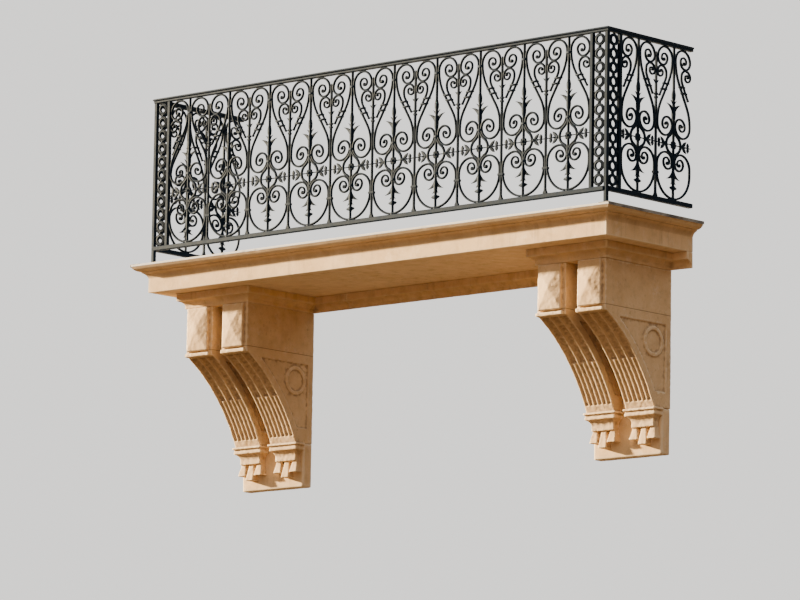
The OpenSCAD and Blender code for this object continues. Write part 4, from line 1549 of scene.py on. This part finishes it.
class NodeSheet:
    """A node tree and the short ways to fill it."""

    def __init__(self, tree: bpy.types.NodeTree) -> None:
        """Empties the tree.

        Args:
            tree: The tree to fill.
        """
        self.tree = tree
        tree.nodes.clear()

    def node(self, kind: str, **settings: object) -> bpy.types.Node:
        """Adds a node.

        Args:
            kind: Its type.
            **settings: Its properties, or the values of its inputs, with underscores for spaces.

        Returns:
            The node.
        """
        made = self.tree.nodes.new(kind)
        for name, value in settings.items():
            if hasattr(made, name):
                setattr(made, name, value)
            else:
                made.inputs[name.replace("_", " ")].default_value = value
        return made

    def link(self, source: object, target: bpy.types.NodeSocket) -> None:
        """Links a socket to its source, or sets it where the source is a plain value.

        Args:
            source: A socket or a plain value.
            target: The socket.
        """
        if isinstance(source, bpy.types.NodeSocket):
            self.tree.links.new(source, target)
        else:
            target.default_value = source

    def blend(
        self, mask: bpy.types.NodeSocket | float, first: object, second: object, how: str = "MIX"
    ) -> bpy.types.NodeSocket:
        """Mixes two colours.

        Args:
            mask: Share of the second colour.
            first: A colour or a socket.
            second: A colour or a socket.
            how: Blend mode.

        Returns:
            The mixed colour's socket.
        """
        mix = self.tree.nodes.new("ShaderNodeMix")
        mix.data_type, mix.blend_type = "RGBA", how
        for index, value in ((0, mask), (6, first), (7, second)):
            self.link(value, mix.inputs[index])
        return mix.outputs[2]

    def math(
        self, how: str, first: object, second: object = 0.0, clamp: bool = False
    ) -> bpy.types.NodeSocket:
        """Works out one value from two.

        Args:
            how: Operation.
            first: A number or a socket.
            second: A number or a socket.
            clamp: Whether the result is kept between 0 and 1.

        Returns:
            The result's socket.
        """
        made = self.tree.nodes.new("ShaderNodeMath")
        made.operation, made.use_clamp = how, clamp
        for index, value in ((0, first), (1, second)):
            self.link(value, made.inputs[index])
        return made.outputs[0]

    def times(self, first: object, second: object, clamp: bool = False) -> bpy.types.NodeSocket:
        """Multiplies two values, as math does."""
        return self.math("MULTIPLY", first, second, clamp)

    def span(
        self, value: bpy.types.NodeSocket, low: float, high: float, start: float = 0.0, end: float = 1.0
    ) -> bpy.types.NodeSocket:
        """Maps a value from one range to another, smoothly.

        Args:
            value: The value.
            low: Value that becomes start.
            high: Value that becomes end.
            start: First result.
            end: Last result.

        Returns:
            The result's socket.
        """
        made = self.tree.nodes.new("ShaderNodeMapRange")
        made.interpolation_type = "SMOOTHSTEP"
        self.link(value, made.inputs[0])
        for index, number in ((1, low), (2, high), (3, start), (4, end)):
            made.inputs[index].default_value = number
        return made.outputs[0]

    def noise(
        self, vector: bpy.types.NodeSocket, scale: object, detail: float, roughness: float = 0.5
    ) -> bpy.types.NodeSocket:
        """Adds a cloudy noise.

        Args:
            vector: Coordinates.
            scale: A number or a socket, larger for smaller clouds.
            detail: Rounds of finer detail.
            roughness: Weight of the finer detail.

        Returns:
            The noise's socket.
        """
        made = self.node("ShaderNodeTexNoise", Detail=detail, Roughness=roughness)
        self.link(vector, made.inputs["Vector"])
        self.link(scale, made.inputs["Scale"])
        return made.outputs[0]


class Surface(NodeSheet):
    """A material's own sheet, with its coordinates and its shader."""

    def __init__(self, name: str) -> None:
        """Starts the material.

        Args:
            name: Name of the material.
        """
        self.material = bpy.data.materials.new(name)
        self.material.use_nodes = True
        super().__init__(self.material.node_tree)
        self.where = self.node("ShaderNodeTexCoord").outputs["Object"]

    def finish(
        self, colour: bpy.types.NodeSocket, rough: object, height: bpy.types.NodeSocket,
        bump: tuple[float, float], **settings: object,
    ) -> bpy.types.Material:
        """Ends the material with its bumps and its shader.

        Args:
            colour: Its colour.
            rough: Its roughness, a number or a socket.
            height: Height of its bumps.
            bump: Strength of the bumps, and their height in metres.
            **settings: Other inputs of the shader, with underscores for spaces.

        Returns:
            The material.
        """
        bumps = self.node("ShaderNodeBump", Strength=bump[0], Distance=bump[1])
        self.link(height, bumps.inputs["Height"])
        shader = self.node("ShaderNodeBsdfPrincipled", **settings)
        for source, label in ((colour, "Base Color"), (rough, "Roughness"), (bumps.outputs[0], "Normal")):
            self.link(source, shader.inputs[label])
        self.link(shader.outputs[0], self.node("ShaderNodeOutputMaterial").inputs[0])
        return self.material


class Effect:
    """A shader node group with named inputs and one named output, built once."""

    def __init__(
        self, name: str, inputs: dict[str, float], output: str,
        fill: Callable[[NodeSheet, bpy.types.Node, bpy.types.NodeSocket], None],
    ) -> None:
        """Builds the group.

        Args:
            name: Name of the group.
            inputs: Its inputs with their defaults, which follow the coordinates.
            output: Name of its output.
            fill: Fills the group between its input node and its output.
        """
        self.group = bpy.data.node_groups.new(name, "ShaderNodeTree")
        socket = self.group.interface.new_socket
        socket("Vector", in_out="INPUT", socket_type="NodeSocketVector")
        for label, value in inputs.items():
            socket(label, in_out="INPUT", socket_type="NodeSocketFloat").default_value = value
        socket(output, in_out="OUTPUT", socket_type="NodeSocketFloat")
        sheet = NodeSheet(self.group)
        fill(sheet, sheet.node("NodeGroupInput"), sheet.node("NodeGroupOutput").inputs[output])

    def place(self, sheet: Surface, **values: float) -> bpy.types.NodeSocket:
        """Places the group in a material.

        Args:
            sheet: The material's sheet.
            **values: Its inputs.

        Returns:
            The group's output.
        """
        made = sheet.node("ShaderNodeGroup", node_tree=self.group)
        sheet.link(sheet.where, made.inputs["Vector"])
        for label, value in values.items():
            made.inputs[label].default_value = value
        return made.outputs[0]


def fill_mottle(sheet: NodeSheet, inside: bpy.types.Node, out: bpy.types.NodeSocket) -> None:
    """Cloudy patches of two sizes, one over the other.

    Args:
        sheet: The group's sheet.
        inside: The group's input node.
        out: The group's output socket.
    """
    vector, scale, level, soft = (inside.outputs[label] for label in ("Vector", "Scale", "Level", "Softness"))
    wide = sheet.noise(vector, scale, 4.0, 0.6)
    fine = sheet.noise(vector, sheet.times(scale, 5.3), 6.0, 0.65)
    both = sheet.math("ADD", sheet.times(wide, 0.62), sheet.times(fine, 0.38))
    low, high = sheet.math("SUBTRACT", level, soft), sheet.math("ADD", level, soft)
    rise, run = sheet.math("SUBTRACT", both, low), sheet.math("SUBTRACT", high, low)
    sheet.link(sheet.math("DIVIDE", rise, run, True), out)


def fill_dust(sheet: NodeSheet, inside: bpy.types.Node, out: bpy.types.NodeSocket) -> None:
    """Dust that lies on faces that look up, broken by patches.

    Args:
        sheet: The group's sheet.
        inside: The group's input node.
        out: The group's output socket.
    """
    split = sheet.node("ShaderNodeSeparateXYZ")
    sheet.link(sheet.node("ShaderNodeNewGeometry").outputs["Normal"], split.inputs[0])
    patch = sheet.noise(inside.outputs["Vector"], inside.outputs["Scale"], 5.0, 0.7)
    lying = sheet.times(sheet.span(split.outputs[2], 0.1, 0.85), sheet.span(patch, 0.32, 0.62))
    haze = sheet.times(sheet.span(patch, 0.45, 0.75), 0.35)
    sheet.link(sheet.times(sheet.math("MAXIMUM", lying, haze), inside.outputs["Amount"], True), out)


def fill_streaks(sheet: NodeSheet, inside: bpy.types.Node, out: bpy.types.NodeSocket) -> None:
    """Upright streaks that rain leaves.

    Args:
        sheet: The group's sheet.
        inside: The group's input node.
        out: The group's output socket.
    """
    stretch = sheet.node("ShaderNodeMapping", Scale=(1.0, 1.0, 0.09))
    sheet.link(inside.outputs["Vector"], stretch.inputs["Vector"])
    run = sheet.noise(stretch.outputs[0], inside.outputs["Scale"], 5.0, 0.6)
    patch = sheet.noise(inside.outputs["Vector"], 2.2, 2.0)
    mask = sheet.times(sheet.span(run, 0.5, 0.72), sheet.span(patch, 0.38, 0.62))
    sheet.link(sheet.times(mask, inside.outputs["Amount"], True), out)


def fill_pits(sheet: NodeSheet, inside: bpy.types.Node, out: bpy.types.NodeSocket) -> None:
    """Small pits and the grain between them, as a height.

    Args:
        sheet: The group's sheet.
        inside: The group's input node.
        out: The group's output socket.
    """
    vector, scale = inside.outputs["Vector"], inside.outputs["Scale"]
    cells = sheet.node("ShaderNodeTexVoronoi")
    sheet.link(vector, cells.inputs["Vector"])
    sheet.link(scale, cells.inputs["Scale"])
    grain = sheet.noise(vector, sheet.times(scale, 0.6), 8.0, 0.7)
    dent = sheet.span(cells.outputs["Distance"], 0.05, 0.32)
    sheet.link(sheet.math("ADD", sheet.times(dent, 0.35), grain), out)


@dataclass(frozen=True)
class Effects:
    """The effects that the finishes share.

    Attributes:
        mottle: Cloudy patches.
        dust: Dust on faces that look up.
        streaks: Upright streaks.
        pits: Small pits and grain.
    """

    mottle: Effect
    dust: Effect
    streaks: Effect
    pits: Effect

    @classmethod
    def built(cls) -> Effects:
        """Builds the four groups.

        Returns:
            The effects.
        """
        return cls(
            Effect("cloudy_mottle", {"Scale": 4.0, "Level": 0.5, "Softness": 0.1}, "Mask", fill_mottle),
            Effect("settled_dust", {"Scale": 30.0, "Amount": 0.6}, "Mask", fill_dust),
            Effect("rain_streaks", {"Scale": 30.0, "Amount": 0.5}, "Mask", fill_streaks),
            Effect("pitted_grain", {"Scale": 160.0}, "Height", fill_pits),
        )


Colour = tuple[float, float, float, float]


@dataclass(frozen=True)
class AgedPaint:
    """Dark paint on iron, dulled by weather, with rust where it has flaked.

    Attributes:
        name: Name of the material.
        coat: Colour of the sound paint.
        faded: Colour of the faded paint.
        dust: Colour of the dust.
        rust: Colour of the rust.
        gleam: Tint of its shine.
        shine: Strength of its shine.
        roughness: Roughness of the sound paint.
        bump: Strength of its bumps, and their height in metres.
    """

    name: str
    coat: Colour = (0.0017, 0.0033, 0.0066, 1)
    faded: Colour = (0.0042, 0.0092, 0.0195, 1)
    dust: Colour = (0.0130, 0.0220, 0.0380, 1)
    rust: Colour = (0.040, 0.016, 0.007, 1)
    gleam: Colour = (0.22, 0.58, 1.0, 1)
    shine: float = 0.07
    roughness: float = 0.5
    bump: tuple[float, float] = (0.22, 0.0012)

    def build(self, effects: Effects) -> bpy.types.Material:
        """Builds the material.

        Args:
            effects: The shared effects.

        Returns:
            The material.
        """
        sheet = Surface(self.name)
        faded = effects.mottle.place(sheet, Scale=22.0, Level=0.5, Softness=0.10)
        rusted = effects.mottle.place(sheet, Scale=34.0, Level=0.665, Softness=0.022)
        dusty = effects.dust.place(sheet, Scale=60.0, Amount=0.55)
        lumps = effects.pits.place(sheet, Scale=260.0)
        colour = sheet.blend(faded, self.coat, self.faded)
        colour = sheet.blend(rusted, colour, self.rust)
        colour = sheet.blend(dusty, colour, self.dust)
        dull = sheet.math("ADD", sheet.times(faded, 0.14), sheet.times(rusted, 0.35))
        dull = sheet.math("ADD", dull, sheet.times(dusty, 0.3))
        rough = sheet.math("ADD", dull, self.roughness, True)
        shine = {"Specular IOR Level": self.shine, "Specular Tint": self.gleam}
        return sheet.finish(colour, rough, lumps, self.bump, **shine)


@dataclass(frozen=True)
class Limestone:
    """Cut limestone, weathered on its ledges and bleached on its arrises, with painted shade in its hollows.

    Attributes:
        name: Name of the material.
        light: Colour of the lighter clouds.
        deep: Colour of the deeper clouds.
        stain_and_shade: Colour of the streaks, and of the painted shade in the hollows.
        bleach: Colour of the bleached arrises and patches.
        washed: Colour of the rain-washed top.
        ledge: Colour of the dirt on ledges.
        joint: Colour of the joints.
        crown: Level above which it is washed, or None where it is not.
        soot: Strength of the streaks.
        hollow_shade: Where the painted shade in the hollows starts and is full, and its strength.
        beds: Levels of its joints.
        shine: Strength of its shine.
        roughness: Its roughness.
        bump: Strength of its bumps, and their height in metres.
    """

    name: str
    light: Colour = (0.72, 0.515, 0.300, 1)
    deep: Colour = (0.58, 0.385, 0.195, 1)
    stain_and_shade: Colour = (0.215, 0.150, 0.098, 1)
    bleach: Colour = (0.76, 0.63, 0.45, 1)
    washed: Colour = (0.60, 0.575, 0.54, 1)
    ledge: Colour = (0.17, 0.135, 0.105, 1)
    joint: Colour = (0.14, 0.098, 0.062, 1)
    crown: float | None = None
    soot: float = 0.55
    hollow_shade: tuple[float, float, float] = (-0.1, -0.6, 0.5)
    beds: tuple[float, ...] = ()
    shine: float = 0.25
    roughness: float = 0.88
    bump: tuple[float, float] = (0.38, 0.0022)

    def build(self, effects: Effects) -> bpy.types.Material:
        """Builds the material.

        Args:
            effects: The shared effects.

        Returns:
            The material.
        """
        sheet = Surface(self.name)
        cloud = effects.mottle.place(sheet, Scale=2.6, Level=0.5, Softness=0.16)
        patch = effects.mottle.place(sheet, Scale=11.0, Level=0.62, Softness=0.06)
        streak = effects.streaks.place(sheet, Scale=26.0, Amount=self.soot)
        dusty = effects.dust.place(sheet, Scale=14.0, Amount=0.8)
        grain = effects.pits.place(sheet, Scale=210.0)
        arris = sheet.node("ShaderNodeAttribute", attribute_name="arris").outputs["Fac"]
        start, full, strength = self.hollow_shade
        colour = sheet.blend(cloud, self.light, self.deep)
        colour = sheet.blend(sheet.times(patch, 0.35), colour, self.bleach)
        colour = sheet.blend(sheet.times(streak, 0.7), colour, self.stain_and_shade)
        colour = sheet.blend(sheet.times(dusty, 0.75), colour, self.ledge)
        colour = sheet.blend(sheet.span(arris, 0.12, 0.75, 0.0, 0.55), colour, self.bleach)
        # Painted shade: points that sink below their neighbours are darkened towards the stain colour
        colour = sheet.blend(sheet.span(arris, start, full, 0.0, strength), colour, self.stain_and_shade)
        split = sheet.node("ShaderNodeSeparateXYZ")
        sheet.link(sheet.where, split.inputs[0])
        level = split.outputs[2]
        if self.crown is not None:
            top = sheet.span(level, self.crown - 3 * MM, self.crown + MM)
            colour = sheet.blend(top, colour, self.washed)
        fine = sheet.span(grain, 0.3, 1.0, 0.86, 1.06)
        tone = sheet.node("ShaderNodeCombineColor")
        for index in range(3):
            sheet.link(fine, tone.inputs[index])
        colour = sheet.blend(1.0, colour, tone.outputs[0], "MULTIPLY")
        height = grain
        for bed in self.beds:
            gap = sheet.span(sheet.math("ABSOLUTE", sheet.math("SUBTRACT", level, bed)), 3 * MM, 1.2 * MM)
            colour = sheet.blend(sheet.times(gap, 0.72), colour, self.joint)
            height = sheet.math("SUBTRACT", height, sheet.times(gap, 2.2))
        shine = {"Specular IOR Level": self.shine}
        return sheet.finish(colour, self.roughness, height, self.bump, **shine)


@dataclass(frozen=True)
class DullMetal:
    """Old metal sheet, grey with pale bloom.

    Attributes:
        name: Name of the material.
        base: Colour of the sheet.
        bloom: Colour of the bloom.
        rust: Colour of the streaks.
        metal: How metallic it is.
        bump: Strength of its bumps, and their height in metres.
    """

    name: str
    base: Colour = (0.052, 0.050, 0.052, 1)
    bloom: Colour = (0.17, 0.165, 0.16, 1)
    rust: Colour = (0.09, 0.062, 0.042, 1)
    metal: float = 0.6
    bump: tuple[float, float] = (0.5, 0.003)

    def build(self, effects: Effects) -> bpy.types.Material:
        """Builds the material.

        Args:
            effects: The shared effects.

        Returns:
            The material.
        """
        sheet = Surface(self.name)
        bloom = effects.mottle.place(sheet, Scale=9.0, Level=0.52, Softness=0.09)
        streak = effects.streaks.place(sheet, Scale=40.0, Amount=0.6)
        colour = sheet.blend(bloom, self.base, self.bloom)
        colour = sheet.blend(streak, colour, self.rust)
        rough = sheet.span(bloom, 0, 1, 0.45, 0.68)
        return sheet.finish(colour, rough, bloom, self.bump, Metallic=self.metal)


def build_paint(effects: Effects) -> dict[Slot, bpy.types.Material]:
    """Builds the material of every slot.

    Args:
        effects: The shared effects.

    Returns:
        One material for each slot.
    """
    finishes = {
        Slot.STONE: Limestone("weathered_limestone", crown=0.071),
        Slot.STONE_CORBEL: Limestone(
            "carved_limestone", light=(0.68, 0.490, 0.285, 1), deep=(0.55, 0.365, 0.190, 1), soot=0.35,
            # Its hollows get a stronger painted shade than the slab's
            hollow_shade=(-0.04, -0.48, 0.66), beds=(-0.440,),
        ),
        Slot.BEDDING: Limestone(
            "bedding_mortar", light=(0.45, 0.41, 0.35, 1), deep=(0.34, 0.31, 0.27, 1),
            bleach=(0.6, 0.57, 0.52, 1),
        ),
        Slot.SHEET: DullMetal("dull_sheet"),
        Slot.IRON: AgedPaint("aged_paint"),
        Slot.IRON_RAILS: AgedPaint(
            "aged_paint_rails", coat=(0.0019, 0.0038, 0.0076, 1), faded=(0.0048, 0.0105, 0.0220, 1)
        ),
    }
    return {slot: finish.build(effects) for slot, finish in finishes.items()}


# Stage


@dataclass(frozen=True)
class Viewpoint:
    """The camera in the photograph's place.

    Attributes:
        place: Position in metres.
        yaw: Direction from +Y, positive towards +X, in radians.
        pitch: Angle above level in radians.
        roll: Turn about the view direction in radians.
        focal_px: Focal length in pixels of the picture.
        picture_px: Width of the picture in pixels.
        sensor: Width of the sensor in millimetres.
        reach: Distance up to which it sees.
    """

    place: tuple[float, float, float] = (20.30242, -22.97785, -4.94179)
    yaw: float = -0.73443
    pitch: float = 0.15341
    roll: float = 0.01631
    focal_px: float = 5218.18
    picture_px: float = 800.0
    sensor: float = 36.0
    reach: float = 200.0

    def build(self) -> None:
        """Creates the camera and makes it the scene's own."""
        data = bpy.data.cameras.new("photograph_view")
        data.sensor_width = self.sensor
        data.lens = self.focal_px / self.picture_px * self.sensor
        data.clip_end = self.reach
        camera = bpy.data.objects.new("photograph_view", data)
        level = math.cos(self.pitch)
        look = Vector((math.sin(self.yaw) * level, math.cos(self.yaw) * level, math.sin(self.pitch)))
        right = Vector((math.cos(self.yaw), -math.sin(self.yaw), 0))
        up = right.cross(look)
        c, s = math.cos(self.roll), math.sin(self.roll)
        axes = (c * right + s * up, -s * right + c * up, -look)
        turn = Matrix([[axes[col][row] for col in range(3)] for row in range(3)]).to_4x4()
        camera.matrix_world = Matrix.Translation(self.place) @ turn
        bpy.context.scene.collection.objects.link(camera)
        bpy.context.scene.camera = camera


@dataclass(frozen=True)
class DistantLight:
    """A light from far away.

    Attributes:
        name: Its name.
        source: Direction that it comes from.
        strength: Its strength.
        soft: Its apparent size in degrees.
        colour: Its colour.
    """

    name: str
    source: tuple[float, float, float]
    strength: float
    soft: float
    colour: tuple[float, float, float]

    def build(self) -> None:
        """Adds the light to the scene."""
        data = bpy.data.lights.new(self.name, "SUN")
        data.energy, data.angle, data.color = self.strength, math.radians(self.soft), self.colour
        light = bpy.data.objects.new(self.name, data)
        light.rotation_euler = Vector(self.source).to_track_quat("Z", "Y").to_euler()
        bpy.context.scene.collection.objects.link(light)


@dataclass(frozen=True)
class Studio:
    """Pale floor and surroundings, a low warm sun from the far left and a weak warm fill from the front.

    Attributes:
        floor_z: Level of the floor, below the camera.
        floor_reach: Distance of the floor's edges from its middle.
        pale: Colour of the floor.
        seen: Colour of the surroundings as the camera sees them.
        below: Light of the surroundings from below.
        above: Light of the surroundings from above.
        key: The sun.
        fill: The fill.
    """

    floor_z: float = -7.0
    floor_reach: float = 60.0
    pale: Colour = (0.80, 0.77, 0.72, 1)
    seen: Colour = (0.83, 0.815, 0.79, 1)
    below: Colour = (0.36, 0.185, 0.055, 1)
    above: Colour = (1.9, 1.85, 1.8, 1)
    key: DistantLight = DistantLight("key", (-3.3, -1.05, 1.0), 31.0, 2.5, (1.0, 0.80, 0.53))
    fill: DistantLight = DistantLight("fill", (0.35, -1.0, 0.1), 0.6, 60.0, (1.0, 0.76, 0.54))

    def build(self) -> None:
        """Builds floor, world and lights."""
        self._floor()
        self._world()
        self.key.build()
        self.fill.build()

    def _floor(self) -> None:
        """Adds the pale floor."""
        mesh = bpy.data.meshes.new("floor")
        reach = self.floor_reach
        corners = ((-reach, -reach), (reach, -reach), (reach, reach), (-reach, reach))
        mesh.from_pydata([(x, y, self.floor_z) for x, y in corners], [], [(0, 1, 2, 3)])
        floor = bpy.data.objects.new("floor", mesh)
        material = bpy.data.materials.new("pale_floor")
        material.use_nodes = True
        shader = material.node_tree.nodes["Principled BSDF"]
        shader.inputs["Base Color"].default_value = self.pale
        shader.inputs["Roughness"].default_value = 0.9
        mesh.materials.append(material)
        floor.visible_diffuse = False
        bpy.context.scene.collection.objects.link(floor)

    def _world(self) -> None:
        """Sets a pale surrounding, with pale light from above and dim warm light from below."""
        world = bpy.data.worlds.new("pale_surroundings")
        world.use_nodes = True
        bpy.context.scene.world = world
        sheet = NodeSheet(world.node_tree)
        seen = sheet.node("ShaderNodeBackground", Color=self.seen, Strength=1.6)
        lit = sheet.node("ShaderNodeBackground", Strength=0.55)
        split = sheet.node("ShaderNodeSeparateXYZ")
        sheet.link(sheet.node("ShaderNodeTexCoord").outputs["Generated"], split.inputs[0])
        height = sheet.span(split.outputs[2], -0.15, 0.85)
        sheet.link(sheet.blend(height, self.below, self.above), lit.inputs[0])
        path, mix = sheet.node("ShaderNodeLightPath"), sheet.node("ShaderNodeMixShader")
        sheet.link(path.outputs["Is Camera Ray"], mix.inputs[0])
        sheet.link(lit.outputs[0], mix.inputs[1])
        sheet.link(seen.outputs[0], mix.inputs[2])
        sheet.link(mix.outputs[0], sheet.node("ShaderNodeOutputWorld").inputs[0])


def main() -> None:
    """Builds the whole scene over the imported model."""
    logging.basicConfig(level=logging.INFO, format="%(name)s: %(message)s")
    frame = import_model()
    Viewpoint().build()
    Studio().build()
    paint = build_paint(Effects.built())
    Masonry(frame["nodes"], paint).build()
    Railing(RailingSizes(), paint).build()
    bpy.context.view_layer.update()


if __name__ == "__main__":
    main()
